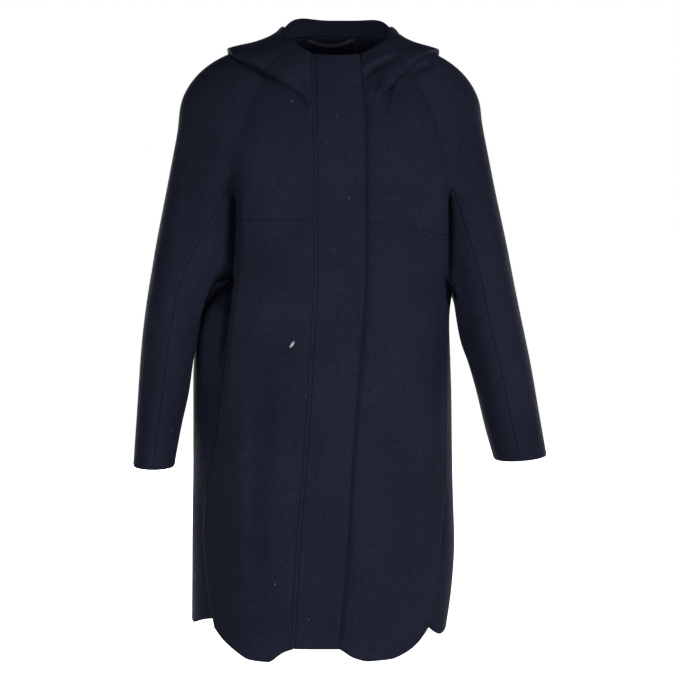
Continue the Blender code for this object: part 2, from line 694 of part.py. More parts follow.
def opening_turns(side, count):
    """Turn of each column at the armhole: over the shoulder, down one leg, under, up the other."""
    over = [ARM_OPENING_ANGLE * (1.0 - 2.0 * j / OVER_STEPS) for j in range(OVER_STEPS + 1)]
    legs = [-turn for turn in LEG_TURNS]
    under = [-LEG_TURNS[-1] - (360.0 - 2 * LEG_TURNS[-1]) * j / SIDE_STEPS for j in range(1, SIDE_STEPS)]
    back_up = [turn - 360.0 for turn in LEG_TURNS[::-1]] + [ARM_OPENING_ANGLE - 360.0]
    turns = over + legs + under + back_up
    assert len(turns) == count
    return turns if side == "left" else [-turn for turn in turns]


def armhole_ring(side, shoulder, front, back, wrap):
    """Closed loop of points of an armhole, in the sleeve's column order."""
    offset = YOKE_ROWS
    legs = range(offset + 1, offset + 4)
    if side == "left":
        down_back = [back[r][0] for r in legs]
        under = [wrap[0][c] for c in range(SIDE_STEPS - 1, 0, -1)]
        up_front = [front[r][-1] for r in reversed(legs)]
        return list(shoulder[-1]) + down_back + under + up_front + [shoulder[-1][0]]
    last = len(wrap[0]) - 1
    down_front = [front[r][0] for r in legs]
    under = [wrap[0][c] for c in range(last - 1, last - SIDE_STEPS, -1)]
    up_back = [back[r][-1] for r in reversed(legs)]
    return list(shoulder[-1]) + down_front + under + up_back + [shoulder[-1][0]]


def shell_net():
    """The fronts, back, shoulders and sleeves as one net."""
    net = Net()
    right, left, back, wrap = panel_grid("right"), panel_grid("left"), back_rows(), wrap_rows()
    yoke_end = YOKE_ROWS + 1
    net.grid(right[:yoke_end + 1], "yoke_sleeve_right")
    net.grid(right[yoke_end:], "front_right")
    moved = left_under_band(left)
    net.grid(moved[:yoke_end + 1], "yoke_sleeve_left")
    net.grid(moved[yoke_end:], "front_left")
    net.grid(back, "back")
    net.grid(wrap, "back")
    for side, front in (("left", left), ("right", right)):
        shoulder = shoulder_rows(side)
        net.grid(shoulder, "yoke_sleeve_" + side)
        ring = armhole_ring(side, shoulder, front, back, wrap)
        net.grid(sleeve_rows(side, ring),
                 lambda r, c, side=side: ("yoke_sleeve_" if c < OVER_STEPS else "under_sleeve_") + side,
                 apart=range(OVER_STEPS + 1, len(ring) - 1))
    return net


def left_under_band(left):
    """The left front carried on under the band, behind it by LAP_DEPTH."""
    share = (LAP_ANGLE + BAND_ANGLE) / (2 * BAND_ANGLE)
    lap = yoke_rows(list(np.linspace(LAP_ANGLE, BAND_ANGLE, LAP_STEPS + 1)))
    for level in front_levels()[1:]:
        lap.append(front_row(level, "sewn_x", "free_x", np.linspace(share, 1.0, LAP_STEPS + 1)))
    net = Net()
    net.grid(lap, "front_left")
    normals = net.normals()
    return [[p - normals[net.point(p)] * LAP_DEPTH for p in row] + left[r][1:]
            for r, row in enumerate(lap)]


def band_net():
    net = Net()
    net.grid(band_grid(), "front_band")
    return net


# ---- hood ----
def hood_profile(angle):
    """Points across the hood's cloth at one angle, seam to face edge: distance out, height."""
    size = {name: hood_size(angle, name) for name in HOOD_COLUMNS[1:]}
    seam, roll, nose, edge = size["seam"], size["roll"], size["nose"], size["edge"]
    run = roll - seam
    hump = size["crest"] - HOOD_LIFT
    rolled = np.array([
        (seam, HOOD_SEAM_LIFT),
        (seam + 0.007, size["crest"]),
        (seam + 0.12 * run + 0.008, HOOD_LIFT + 0.55 * hump),
        (seam + 0.50 * run, HOOD_LIFT + 0.03 * hump),
        (roll - nose, HOOD_LIFT),
        (roll, HOOD_LIFT + nose),
        (roll - nose, HOOD_LIFT + 2.0 * nose),
        (roll + (edge - roll) * 0.5, size["top"]),
        (edge, size["edge_up"]),
    ])
    flat = np.linspace(rolled[0], rolled[4], 5)
    rolled_over = min(max((run - LEAST_ROLL) / (FULL_ROLL - LEAST_ROLL), 0.0), 1.0)
    rolled[:5] = flat + (rolled[:5] - flat) * rolled_over
    rolled = along_curve(rolled, HOOD_STEPS_DOWN)
    turns = np.radians(np.linspace(-90.0, 90.0, 2 * HOOD_STEPS_DOWN + 1))
    first = 4 * HOOD_STEPS_DOWN
    rolled[first:first + len(turns)] = np.column_stack([roll - nose + nose * np.cos(turns),
                                                        HOOD_LIFT + nose + nose * np.sin(turns)])
    lengths = np.concatenate([[0.0], np.cumsum(np.linalg.norm(np.diff(rolled, axis=0), axis=1))])
    q = lengths / lengths[-1]
    if angle < GROOVE[-1][0]:
        out, depth = groove(angle, "out"), groove(angle, "depth")
        upper = np.arange(len(q)) > np.argmax(rolled[:, 0])
        rolled[:, 1] -= upper * depth * np.exp(-((rolled[:, 0] - out) / GROOVE_HALF_WIDTH) ** 2)
    flush = np.column_stack([seam + (edge - seam) * q, size["edge_up"] * q])
    return rolled * size["fold"] + flush * (1.0 - size["fold"])


def along_curve(points, steps):
    """Smooth curve through the points, with a number of steps between each two of them."""
    ends = np.vstack([2 * points[0] - points[1], points, 2 * points[-1] - points[-2]])
    curve = []
    for i in range(1, len(ends) - 2):
        p0, p1, p2, p3 = ends[i - 1:i + 3]
        for t in np.arange(steps) / steps:
            curve.append(0.5 * (2 * p1 + (p2 - p0) * t + (2 * p0 - 5 * p1 + 4 * p2 - p3) * t * t
                                + (3 * p1 - p0 - 3 * p2 + p3) * t ** 3))
    curve.append(points[-1])
    return np.array(curve)


def hood_angles():
    """Angles of the left half's sections: the same as the columns of the cloth below."""
    panel = [BAND_ANGLE + (PART_ANGLE - BAND_ANGLE) * (1.0 - share) for share in PANEL_STEPS[::-1]]
    over = list(np.linspace(PART_ANGLE, 180.0 - PART_ANGLE, OVER_STEPS + 1))
    back = list(np.linspace(180.0 - PART_ANGLE, 180.0, BACK_STEPS // 2 + 1))
    return [HOOD_START] + panel[1:] + over[1:] + back[1:]


def hood_net():
    """Both halves of the hood, meeting at the centre back; the left one runs on under the band."""
    net = Net()
    lap = list(np.linspace(LAP_ANGLE, BAND_ANGLE, LAP_STEPS + 1))
    left = hood_angles()
    right = [360.0 - angle for angle in left[::-1]]
    for name, angles in (("hood_left", lap + left[1:]), ("hood_right", right)):
        columns = []
        for angle in angles:
            profile = hood_profile(max(angle, HOOD_START))
            depth = LAP_DEPTH if angle in lap else 0.0
            columns.append([surface_point(angle, d) + surface_normal(angle, d) * (h - depth)
                            for d, h in profile])
        net.grid([list(row) for row in zip(*columns)], name, flip=True)
    return net


# ---- hanging loop ----
def loop_solid():
    """A flat strip whose ends lie on the back neck and whose middle hangs free."""
    points, quads = [], []
    for i in range(LOOP_STEPS + 1):
        share = i / LOOP_STEPS
        x = LOOP_ENDS_X[0] + (LOOP_ENDS_X[1] - LOOP_ENDS_X[0]) * share
        angle = 180.0 - math.degrees(math.asin(x / NECK_HALF_WIDTH))
        hang = math.sin(math.pi * share)
        moved = np.array([0.0, -LOOP_OUT, -LOOP_SAG]) * hang
        for depth in (0.0, LOOP_THICKNESS):
            for distance in (LOOP_START, LOOP_START + LOOP_WIDTH):
                inward = surface_normal(angle, distance) * (WALL + LOOP_GAP + depth)
                points.append(tuple(surface_point(angle, distance) - inward + moved))
    for i in range(LOOP_STEPS):
        a, b = 4 * i, 4 * i + 4
        for p, q in ((1, 0), (3, 1), (2, 3), (0, 2)):
            quads.append([a + p, a + q, b + q, b + p])
    last = 4 * LOOP_STEPS
    quads.append([0, 1, 3, 2])
    quads.append([last, last + 2, last + 3, last + 1])
    return points, quads


# ---- objects ----
def wool(name, colour):
    material = bpy.data.materials.new(name)
    material.use_nodes = True
    shader = material.node_tree.nodes["Principled BSDF"]
    shader.inputs["Base Color"].default_value = (*colour, 1.0)
    shader.inputs["Roughness"].default_value = 0.95
    shader.inputs["Metallic"].default_value = 0.0
    return material


def add_object(name, points, quads, material):
    mesh = bpy.data.meshes.new(name)
    mesh.from_pydata([tuple(p) for p in points], [], quads)
    mesh.materials.append(material)
    mesh.update()
    made = bpy.data.objects.new(name, mesh)
    bpy.context.scene.collection.objects.link(made)
    return made


def clear_scene():
    for old in list(bpy.data.objects):
        bpy.data.objects.remove(old, do_unlink=True)


def build():
    clear_scene()
    navy = wool("navy_wool", (0.016, 0.019, 0.032))
    trim = wool("navy_tape", (0.05, 0.055, 0.07))
    for net in (shell_net(), band_net(), hood_net()):
        normals = net.normals()
        for name in sorted({piece for _, piece in net.faces}):
            points, quads = wall_of_piece(net, normals, name)
            add_object(name, points, quads, navy)
    points, quads = loop_solid()
    add_object("hanger_loop", points, quads, trim)


build()
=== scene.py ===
import bisect
import functools
import math

import bmesh
import bpy
import numpy as np
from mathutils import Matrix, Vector
from mathutils.bvhtree import BVHTree
from mathutils.kdtree import KDTree


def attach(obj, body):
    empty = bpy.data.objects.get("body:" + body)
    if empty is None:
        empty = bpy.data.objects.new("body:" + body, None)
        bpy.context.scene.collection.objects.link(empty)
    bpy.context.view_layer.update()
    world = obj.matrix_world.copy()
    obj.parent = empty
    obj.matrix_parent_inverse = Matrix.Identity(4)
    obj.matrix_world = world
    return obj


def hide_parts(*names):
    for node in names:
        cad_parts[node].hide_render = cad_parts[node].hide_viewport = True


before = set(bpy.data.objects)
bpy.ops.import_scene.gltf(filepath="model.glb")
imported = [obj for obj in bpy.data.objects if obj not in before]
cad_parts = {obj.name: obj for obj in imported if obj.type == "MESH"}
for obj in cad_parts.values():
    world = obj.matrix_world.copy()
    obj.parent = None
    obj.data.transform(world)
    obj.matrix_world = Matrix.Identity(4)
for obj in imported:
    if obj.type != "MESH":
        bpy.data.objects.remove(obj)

UNSCALED = ("angle", "share", "fold")


class Table:
    """Rows of sizes in millimetres, read in metres as smooth curves along the first column."""

    def __init__(self, names, rows):
        self.names = names.split()
        columns = [[value / (1.0 if name in UNSCALED else 1000.0) for value in column]
                   for name, column in zip(self.names, zip(*rows))]
        if columns[0][0] > columns[0][-1]:
            columns = [column[::-1] for column in columns]
        self.places = columns[0]
        self.steps = [b - a for a, b in zip(self.places, self.places[1:])]
        self.curves = {name: (column, self.slopes(column)) for name, column in zip(self.names, columns)}

    def slopes(self, values):
        """A slope at each row that never swings past its neighbours."""
        rises = [(b - a) / step for a, b, step in zip(values, values[1:], self.steps)]
        slopes = [rises[0]] + [0.0] * (len(rises) - 1) + [rises[-1]]
        for i in range(1, len(rises)):
            if rises[i - 1] * rises[i] > 0:
                weight = self.steps[i] / (self.steps[i - 1] + self.steps[i])
                slopes[i] = 1.0 / (weight / rises[i - 1] + (1.0 - weight) / rises[i])
        return slopes

    def __call__(self, place, name):
        values, slopes = self.curves[name]
        place = min(max(place, self.places[0]), self.places[-1])
        k = min(max(bisect.bisect_left(self.places, place) - 1, 0), len(self.steps) - 1)
        t = (place - self.places[k]) / self.steps[k]
        level = values[k] * (1 + 2 * t) * (1 - t) ** 2 + values[k + 1] * t * t * (3 - 2 * t)
        return level + self.steps[k] * (slopes[k] * t * (1 - t) ** 2 - slopes[k + 1] * t * t * (1 - t))


# ---- driving sizes ----
WALL = 0.0025  # thickness of the double-faced cloth
LAP_DEPTH = 0.0038  # how far the left front sits behind the band
LAP_ANGLE = -20.0  # degrees round the neck at which the left front ends under the band
LAP_STEPS = 3

NECK_HALF_WIDTH = 0.075
NECK_HALF_DEPTH = 0.066
NECK_MID_HEIGHT = 0.0235
NECK_TILT = 0.0195  # the back of the neck base is this much above the middle

CHEST_Z = -0.19  # level where sleeve and body part, front and back
ARMPIT_Z = -0.32  # level where the body closes under the arm
ARMPIT_DIP = 0.018  # the middle of the underarm lies this much lower
SLIT_ROW = 8  # body row at which the side slits start
TUCKED_COLUMNS = 1.5  # columns over which a tucked edge comes back out
EDGE_END_Z = -0.6  # the back's own columns follow the fronts' edges down to here
BODY_ROWS = 13  # rows from the armpit level to the hem
LEVEL_ROUNDS = 6  # rounds that bring a point's x and its row's level together
YOKE_ROWS = 7
ARMHOLE_X = (0.165, -0.151)  # where the back takes its levels from the fronts, left and right
MID_X = -0.02  # middle of the body's sections
SECTION_POWER = 2.5  # roundness of the body's sections
RIGHT_SWING = 0.050  # the right side of the sections lies this much further back
SWING_TOP_Z = -0.350  # the swing grows from here
SWING_FULL_Z = -0.500  # to here
FRONT_DROP = 0.68  # 1 is a quarter ellipse from neck to chest, 0 a straight slope
SHOULDER_FULLNESS_RIGHT = 0.25  # 0 is a quarter ellipse over the shoulder, more is squarer
SHOULDER_FULLNESS_LEFT = 0.08
ARM_OPENING_ANGLE = 79.0  # degrees round the first sleeve ring, top to the parting point
ARM_OPENING_BOW = 0.036  # the first sleeve ring bends in this much towards the body

BAND_ANGLE = 25.3  # degrees round the neck, front middle to the band's edges
PART_ANGLE = 45.0  # degrees round the neck, front middle to the armhole column
BAND_STEPS = 3
PANEL_STEPS = (0.0, 0.08, 0.2, 0.36, 0.46, 0.56, 0.63, 0.70, 0.78, 0.88, 1.0)  # armhole column to band
OVER_STEPS = 12  # columns over each shoulder
BACK_STEPS = 14
SIDE_STEPS = 6
WRAP_STEPS = 2 * SIDE_STEPS + BACK_STEPS  # side strip, back, side strip

LINE_SHARES = np.linspace(0.0, 1.0, 25)  # samples from the neck base to the chest loop
BELOW_CHEST = np.arange(1, 9) * 0.02  # and below it
NORMAL_REACH, NORMAL_TURN = 0.006, 2.0  # out and round, over which a normal is measured

# Body sections: level, right and left side (wearer's), depth of front and back.
BODY = Table("z right_x left_x front back", (
    (-190, -197, 190, 130, 118),
    (-260, -188, 188, 135, 124),
    (-320, -181, 178, 138, 128),
    (-352, -195.5, 171, 139, 130),
    (-384, -203, 168, 140, 131),
    (-430, -214, 169, 140, 133),
    (-480, -218.5, 171, 141, 134),
    (-568, -219, 172.5, 143, 135),
    (-651, -220, 174.5, 147, 137),
    (-719, -221, 176.5, 150, 139),
    (-783, -221.5, 173, 153, 141),
    (-860, -222, 162, 155, 143),
))

# Side edges of the front panels: level, edge on the wearer's right and left.
EDGE = Table("z right_x left_x", (
    (-190, -151, 165.5),
    (-220, -146, 165),
    (-260, -148, 164.5),
    (-320, -154, 160),
    (-380, -159, 162),
    (-455, -167, 161),
    (-530, -176, 160),
    (-609, -188, 159),
    (-656, -196, 156.5),
    (-693, -199, 153.5),
    (-730, -197, 150),
    (-767, -193, 146),
    (-804, -188, 140),
    (-840, -180, 133),
))

# The back's own edges below the slits: how far each runs on under the front panel's edge, and how
# far in behind it.
TUCK = Table("z right_under left_under inward", (
    (-640, -0.4, -0.4, 4.5),
    (-700, -0.4, -0.4, 4.5),
    (-750, 4, 4, 5),
    (-800, 4, 3, 5),
    (-850, -5, -9, 5),
))

# Band edges: level, the sewn edge and the free edge.
BAND = Table("z sewn_x free_x", (
    (-182, -28, 40),
    (-325, -28, 40),
    (-430, -34, 33),
    (-508, -38, 27),
    (-606, -45, 20),
    (-704, -53, 15),
    (-850, -61, 2),
))

# Front yoke seam and front hem: across the coat, level.
YOKE_SEAM = Table("x z", (
    (-151, -236), (-30, -236), (42, -241), (91, -242), (115, -247), (138, -256), (165, -261)))
FRONT_HEM = Table("x z", (
    (-183, -833), (-175, -843), (-158, -857), (-140, -869), (-118, -874.5), (-100, -874.5), (-85, -865),
    (-64, -854), (1, -854), (19, -864), (45, -872.5), (73, -871.5), (95, -867), (110, -858), (122, -848),
    (133, -832)))
# Hem of the back: share of the way from the wearer's left slit round to the right one, level.
BACK_HEM = Table("share z", (
    (0, -832), (0.05, -848), (0.2, -848), (0.5, -846), (0.8, -846), (0.92, -843), (0.96, -832), (1, -823)))

# Sleeve rings, shoulder to cuff: outer and inner line seen from the front, middle, half depth.
SLEEVE_LEFT = Table("share outer_x outer_z inner_x inner_z middle_y half_depth", (
    (0, 216, -91, 174, -338, 0, 86),
    (0.125, 228, -155, 176.5, -366, -4, 85),
    (0.25, 240, -215, 180, -394, -10, 82),
    (0.375, 252, -272, 184, -416, -16, 79),
    (0.5, 262, -324, 189, -432, -20, 76),
    (0.625, 271, -369, 195, -448, -23, 73),
    (0.75, 288, -450, 209, -497, -26, 68),
    (0.875, 302, -530, 221, -547, -29, 63),
    (1, 312, -585, 234, -592, -30, 60),
))
SLEEVE_RIGHT = Table("share outer_x outer_z inner_x inner_z middle_y half_depth", (
    (0, -237, -100, -182, -338, 0, 86),
    (0.125, -247, -158, -197, -366, -8, 85),
    (0.25, -258, -218, -201.5, -390, -18, 82),
    (0.375, -269, -278, -206, -411, -26, 79),
    (0.5, -275, -315, -210, -430, -30, 76),
    (0.625, -281, -352, -213.5, -447, -33, 73),
    (0.75, -290, -425, -220.5, -495, -35, 68),
    (0.875, -297, -522, -232, -546, -36, 63),
    (1, -303, -600, -242, -602, -36, 60),
))
SLEEVE_ROWS = 12
UNDER_SEAM_TURN = 97.0  # the under sleeve's seams, degrees round from the outer line
LEG_TURNS = (108.0, 122.0, 140.0)  # armhole points below the parting point at the first ring
OPENING_FADE = 0.45  # share of the sleeve over which the armhole's own form fades out

# Hood sections by angle round the neck (0 front, 90 wearer's left, 180 back).  Sizes run out from
# the neck base (seam, roll, edge) and up from the shoulders (crest, nose, top, edge_up);
# fold is 0 where the cloth runs flush into the front and 1 where its roll stands up in full.
HOOD = Table("angle seam roll nose top edge edge_up crest fold", (
    (25.3, 82, 101, 4.5, 4, 0, 0, 3, 0),
    (28, 83, 98, 5, 6, 0, 0, 3, 0.05),
    (31, 80, 92, 5.8, 10, 0, 1, 3, 0.45),
    (34, 69, 78, 5.8, 12, 0, 3, 3, 1),
    (37, 57, 69, 5, 12, 0, 4, 3, 1),
    (42, 43, 62, 4.8, 13.5, 0, 7, 3, 1),
    (48, 31, 60, 4.6, 14, 0, 9, 3, 1),
    (57, 20, 59, 4.2, 12.5, 0, 11, 3, 1),
    (70, 14, 63, 3.5, 9, 1, 12, 3, 1),
    (90, 10, 74, 3.2, 6.8, 2, 14, 3, 1),
    (115, 6, 94, 3.6, 8, 6, 18, 9, 1),
    (127, 4, 125, 6, 14, 20, 26, 19, 1),
    (140, 3, 160, 7, 23, 36, 34, 31, 1),
    (160, 3, 210, 8, 34, 52, 49, 51, 1),
    (180, 3, 240, 9, 40, 60, 58, 64.5, 1),
    (200, 3, 210, 8, 34, 52, 50, 54.5, 1),
    (220, 3, 160, 6.5, 23, 36, 34, 33, 1),
    (233, 4, 130, 5.5, 14, 20, 26, 20, 1),
    (245, 6, 103, 3.6, 8, 8, 18, 10, 1),
    (270, 10, 87, 3.2, 6.8, 3, 14, 3, 1),
    (290, 14, 83, 3.6, 8.5, 1, 12, 3, 1),
    (306, 26, 72, 4.5, 11.5, 0, 11, 3, 1),
    (315, 42, 69, 4.6, 11.5, 0, 8, 3, 1),
    (322, 58, 71, 5, 12, 0, 5, 3, 1),
    (326, 69, 76.5, 5.6, 12, 0, 3, 3, 0.95),
    (329, 79, 86, 6, 11, 0, 1, 3, 0.55),
    (331.5, 86, 98, 5, 8, 0, 0, 3, 0.12),
    (334.7, 88, 101, 4.5, 4, 0, 0, 3, 0),
))
ANGLE_TOLERANCE = 0.001  # degrees
HOOD_START, HOOD_END = 25.3, 334.8  # the hood begins and ends at the band's edges
SEAM_TREE_STEP = 0.4  # degrees between the points that stand for its neck seam
NEAR_SEAM = 0.004  # an edge this close to a seam line is that seam
BAND_SEAM_REACH = 0.006  # and on the band itself, this close
BAND_TOP_Z, BAND_END_Z = -0.03, -0.85  # levels between which an edge can be the band's seam
HOOD_LOW_Z, HOOD_GAP_X = -0.12, 0.03  # above and outside these the fronts end under the hood
HOOD_BAND_X, HOOD_BAND_Y = -0.042, -0.03  # where the right half of the hood meets the band
HOOD_STEPS_DOWN = 2  # rows between the points of a section
LEAST_ROLL = 0.014  # where the roll overhangs the seam this little its under layer is straight
FULL_ROLL = 0.045  # and where it overhangs this much it has its full form
HOOD_SEAM_LIFT = 0.0009  # and its seam edge this far, where it is rolled over
HOOD_LIFT = 0.0022  # the under layer lies this far off the shoulders
CREST_OUT = 0.007  # the standing crest is this far out from the seam
CREST_END, CREST_RUN, CREST_FALL = 0.008, 0.12, 0.55  # then falls by share of the run and of its height
CREST_FOOT = 0.03  # share of its height that is left halfway to the roll

# The groove across the hood's left side: angle round the neck, distance out, depth.
GROOVE = Table("angle out depth", (
    (25.8, 36, 1.5),
    (35, 30, 4),
    (50, 24, 4.5),
    (65, 28, 3.5),
    (80, 45, 1.5),
    (92, 62, 0),
))
GROOVE_HALF_WIDTH = 0.009

# Hanging loop inside the back neck: a strip sewn down at both ends, its middle hanging free.
LOOP_ENDS_X = (-0.041, 0.023)
LOOP_WIDTH = 0.006
LOOP_THICKNESS = 0.0014
LOOP_START = 0.0035  # from the neck base down to the strip's upper edge
LOOP_GAP = 0.0009  # between its ends and the back
LOOP_SAG = 0.010  # the middle hangs this much lower
LOOP_OUT = 0.0085  # and stands this far off
LOOP_STEPS = 60
LOOP_AROUND = 10

# ---- sizes of the finished look ----
FINE_LEVELS = 3  # times each quad of the form is halved
FITTING_ROUNDS = 3  # rounds that bring the smooth mesh through its own points
WIDE_CREASE = 0.012  # creases wider than this need no cuts
CREASE_PAST_MIDDLE = 0.030  # a crease reaches this far past the coat's middle plane
CREASE_FADE = 0.050  # and fades out over this depth
CREASE_FACING = 0.35  # cloth that faces less to the front or back than this takes less of it
CREASE_MARGIN = 2.6  # half widths to which a crease reaches
CREASE_STEPS = 6  # between two points of its path
CREASE_PROBE = (0.31, 0.12, 0.94)  # a way from which two directions along the cloth are made
PROBE_STEP = 0.0004  # and how far along them the creases are felt, to turn the normals
DENSE_SPACING = 0.0006  # between the points that stand for an edge
AT_EDGE = 0.0001  # a point this close to an edge lies on it
CUT_TOLERANCE = 0.00001  # a point this close to a cut lies on it
EDGE_RINGS = (0.22, 0.78)  # shares of the wall at which a rounded edge has its rings
SEAM_SINK, SEAM_WIDTH = 0.0014, 0.0011  # groove along a seam
STITCH_LINE = 0.0066  # from a felled seam to its second line
STITCH_SINK, STITCH_WIDTH = 0.0012, 0.0009
FELL_RISE, FELL_END, FELL_EASE = 0.0005, 0.0060, 0.0020  # the seam allowance, raised between the lines
EDGE_SINK, EDGE_WIDTH = 0.0005, 0.0010  # rounding of a free edge
EDGE_RISE, EDGE_RISE_AT, EDGE_RISE_WIDTH = 0.0004, 0.0040, 0.0022
EDGE_BULGE = 0.0007  # how far a rounded edge stands out between its faces
CUTS = {
    "seam": (0.0008, 0.0018, 0.0032),
    "stitched": (0.0050, 0.0058, 0.0066, 0.0074, 0.0084),
    "free": (0.0009, 0.0020, 0.0040, 0.0062),
    "crease": (0.0030, 0.0075, 0.0120, 0.0180),
}

WOOL_DEEP, WOOL_LIGHT = (0.0092, 0.0111, 0.0226), (0.0120, 0.0142, 0.0278)
TAPE_DEEP, TAPE_LIGHT = (0.010, 0.012, 0.022), (0.020, 0.023, 0.037)

# Troughs and ridges (depth below 0) in millimetres: depth, half width to the right and to the left of
# the path, share over which its start and its end fade, and its points as x and z seen from the front.
FRONT_CREASES = (
    (3, (1, 4), (0.02, 0.02), (41.2, -60), (41.5, -182), (41.5, -325), (34.5, -430), (28.5, -508),
     (21.5, -606), (16.5, -704), (3.5, -850)),
    (18, (7, 2.4), (0.1, 0.25), (-149, -184.5), (-147.6, -214.9), (-148.5, -251.1), (-150, -287.3),
     (-153, -323.6), (-156.1, -359.9), (-159.8, -396.3), (-165.8, -440), (-171.8, -491.2)),
    (12, (2.2, 6), (0.12, 0.3), (161.7, -193.2), (163.9, -229.4), (164.8, -265.6), (164.2, -301.8),
     (162.1, -338.1)),
    (7, (6, 10), (0.2, 0.35), (-154.3, 0.8), (-135.2, -7.9), (-116.1, -17.4), (-95.5, -29.9),
     (-77.9, -41.6)),
    (-4, (9, 11), (0.25, 0.3), (-145.4, 9.6), (-119, 0.8), (-95.5, -12.3), (-74.9, -25.5), (-57.3, -38.7)),
    (6, (10, 6), (0.2, 0.35), (145.2, -8.6), (127.6, -11.5), (113, -18.8), (98.4, -31.9)),
    (-4.5, (12, 10), (0.25, 0.4), (136.4, 3.1), (113, -2.7), (95.4, -14.4), (80.8, -30.4)),
    (4.5, (16, 24), (0.35, 0.4), (-108.1, -351.8), (-114.2, -467.6), (-120.3, -598.6), (-117.7, -730.2),
     (-109.2, -847.7)),
    (-3.5, (18, 20), (0.35, 0.35), (-76.4, -395.2), (-82.4, -525.8), (-92.8, -671.6), (-88.8, -847.7)),
    (4, (22, 16), (0.35, 0.35), (94, -322.9), (100, -467.6), (94.5, -613.2), (97.7, -788.9),
     (103.6, -847.7)),
    (-3.5, (20, 18), (0.35, 0.35), (125.9, -395.2), (130.6, -540.3), (125.1, -671.6), (121, -818.3)),
    (4, (14, 18), (0.35, 0.45), (-206.9, -90.3), (-216, -163.5), (-219.4, -251.6), (-228.6, -354.8)),
    (4, (18, 14), (0.35, 0.45), (189.6, -104.9), (201.6, -178.2), (207.8, -266.4), (225.9, -369.6)),
    (4.5, (10, 16), (0.3, 0.45), (-167.2, -120.5), (-158.6, -149.5), (-152.9, -181.4), (-151.5, -207.6)),
    (24, (24, 6), (0.12, 0.15), (-151.8, -161.4), (-149, -186), (-147.6, -212), (-147.7, -243.8),
     (-149.3, -272.8), (-153, -309.1), (-156.7, -341), (-159.8, -381.8)),
    (36, (30, 5), (0.1, 0.4), (-154.2, -302.1), (-158.8, -367.7), (-167.1, -455.4), (-173.8, -499.3),
     (-178.4, -558.1), (-188.8, -609.6)),
    (17, (5, 24), (0.12, 0.2), (163.6, -181.6), (165.1, -222.2), (166, -254.1), (166.1, -284.6),
     (163.3, -319.6), (164.8, -345.8), (166.4, -385.2)),
    (10, (14, 10), (0.25, 0.45), (174.2, -354.8), (184.6, -384.4), (195.1, -421.3), (207.1, -465.8),
     (217.6, -510.3)),
    (4.5, (5, 5), (0.3, 0.55), (-65.3, -46.6), (-56.6, -55.3), (-50, -66.9), (-47.1, -79.9),
     (-46.4, -97.3)),
    (-3, (6.5, 6.5), (0.3, 0.55), (-63.8, -35), (-50.7, -48.1), (-40.6, -62.5), (-36.9, -79.9),
     (-37.7, -97.3)),
    (6.5, (6, 6), (0.15, 0.35), (38.1, -31), (49.8, -19.4), (63, -10.7), (81.9, -1.9), (102.4, 2.4)),
    (-3, (6.5, 6.5), (0.25, 0.4), (36.7, -17.9), (51.3, -6.3), (68.8, 3.9), (89.2, 11.1)),
    (5.5, (6.5, 6), (0.25, 0.55), (85.9, -33.6), (77.2, -45.2), (72.8, -59.6), (69.9, -74.1),
     (68.5, -91.5)),
    (-3, (7, 7), (0.3, 0.55), (75.7, -30.7), (65.5, -43.7), (59.7, -59.6), (56.9, -79.9)),
    (3, (6, 6), (0.3, 0.3), (-179.3, -139.8), (-159.1, -161.4), (-137.4, -168.7)),
    (-1.6, (5, 5), (0.35, 0.35), (123.9, -260.9), (127, -322.8), (131.4, -390.6)),
    (-2, (12, 12), (0.4, 0.4), (-136, -504), (-137.6, -569.4), (-140.7, -642.4), (-132.2, -715.5)),
    (-1.4, (8, 8), (0.4, 0.3), (107.7, -722.9), (110.7, -774.2), (121, -821.2)),
    (2.4, (7.5, 7.5), (0.3, 0.5), (-199, -382.4), (-214.1, -353.1), (-231.5, -338.5)),
    (2.2, (8, 8), (0.3, 0.5), (-206.6, -422.6), (-223.1, -404.2), (-243.5, -399.8)),
    (2.4, (7.5, 7.5), (0.3, 0.5), (175.4, -392.8), (194.1, -379.4), (218.8, -376.4)),
    (2.2, (8, 8), (0.3, 0.5), (191.8, -433), (208.8, -426.1), (233.6, -429)),
)
BACK_CREASES = (
    (8.5, (24, 30), (0.35, 0.25), (-120, -230), (-128, -430), (-118, -640), (-124, -830)),
    (7, (26, 20), (0.4, 0.25), (-30, -330), (-40, -520), (-34, -680), (-40, -840)),
    (8, (22, 30), (0.4, 0.25), (62, -280), (70, -460), (60, -660), (66, -840)),
    (6, (20, 16), (0.4, 0.25), (128, -300), (134, -480), (130, -700), (120, -820)),
    (6, (11, 9), (0.3, 0.4), (-196, -270), (-168, -235), (-136, -222)),
    (6, (11, 9), (0.3, 0.4), (186, -280), (160, -240), (126, -226)),
    (2.6, (8, 8), (0.3, 0.45), (-214, -400), (-236, -372), (-262, -366)),
    (2.4, (8, 8), (0.3, 0.45), (-222, -440), (-246, -420), (-272, -424)),
    (2.6, (8, 8), (0.3, 0.45), (196, -396), (220, -372), (250, -364)),
    (2.4, (8, 8), (0.3, 0.45), (204, -440), (230, -424), (258, -428)),
    (5.5, (10, 14), (0.3, 0.45), (-188, -300), (-160, -330), (-138, -400)),
    (5, (14, 10), (0.3, 0.45), (176, -310), (150, -345), (132, -420)),
    (-4, (18, 18), (0.4, 0.4), (12, -380), (18, -560), (12, -760)),
    (4, (12, 16), (0.35, 0.5), (-150, -120), (-165, -180), (-172, -250)),
    (4, (16, 12), (0.35, 0.5), (145, -120), (160, -190), (168, -260)),
)

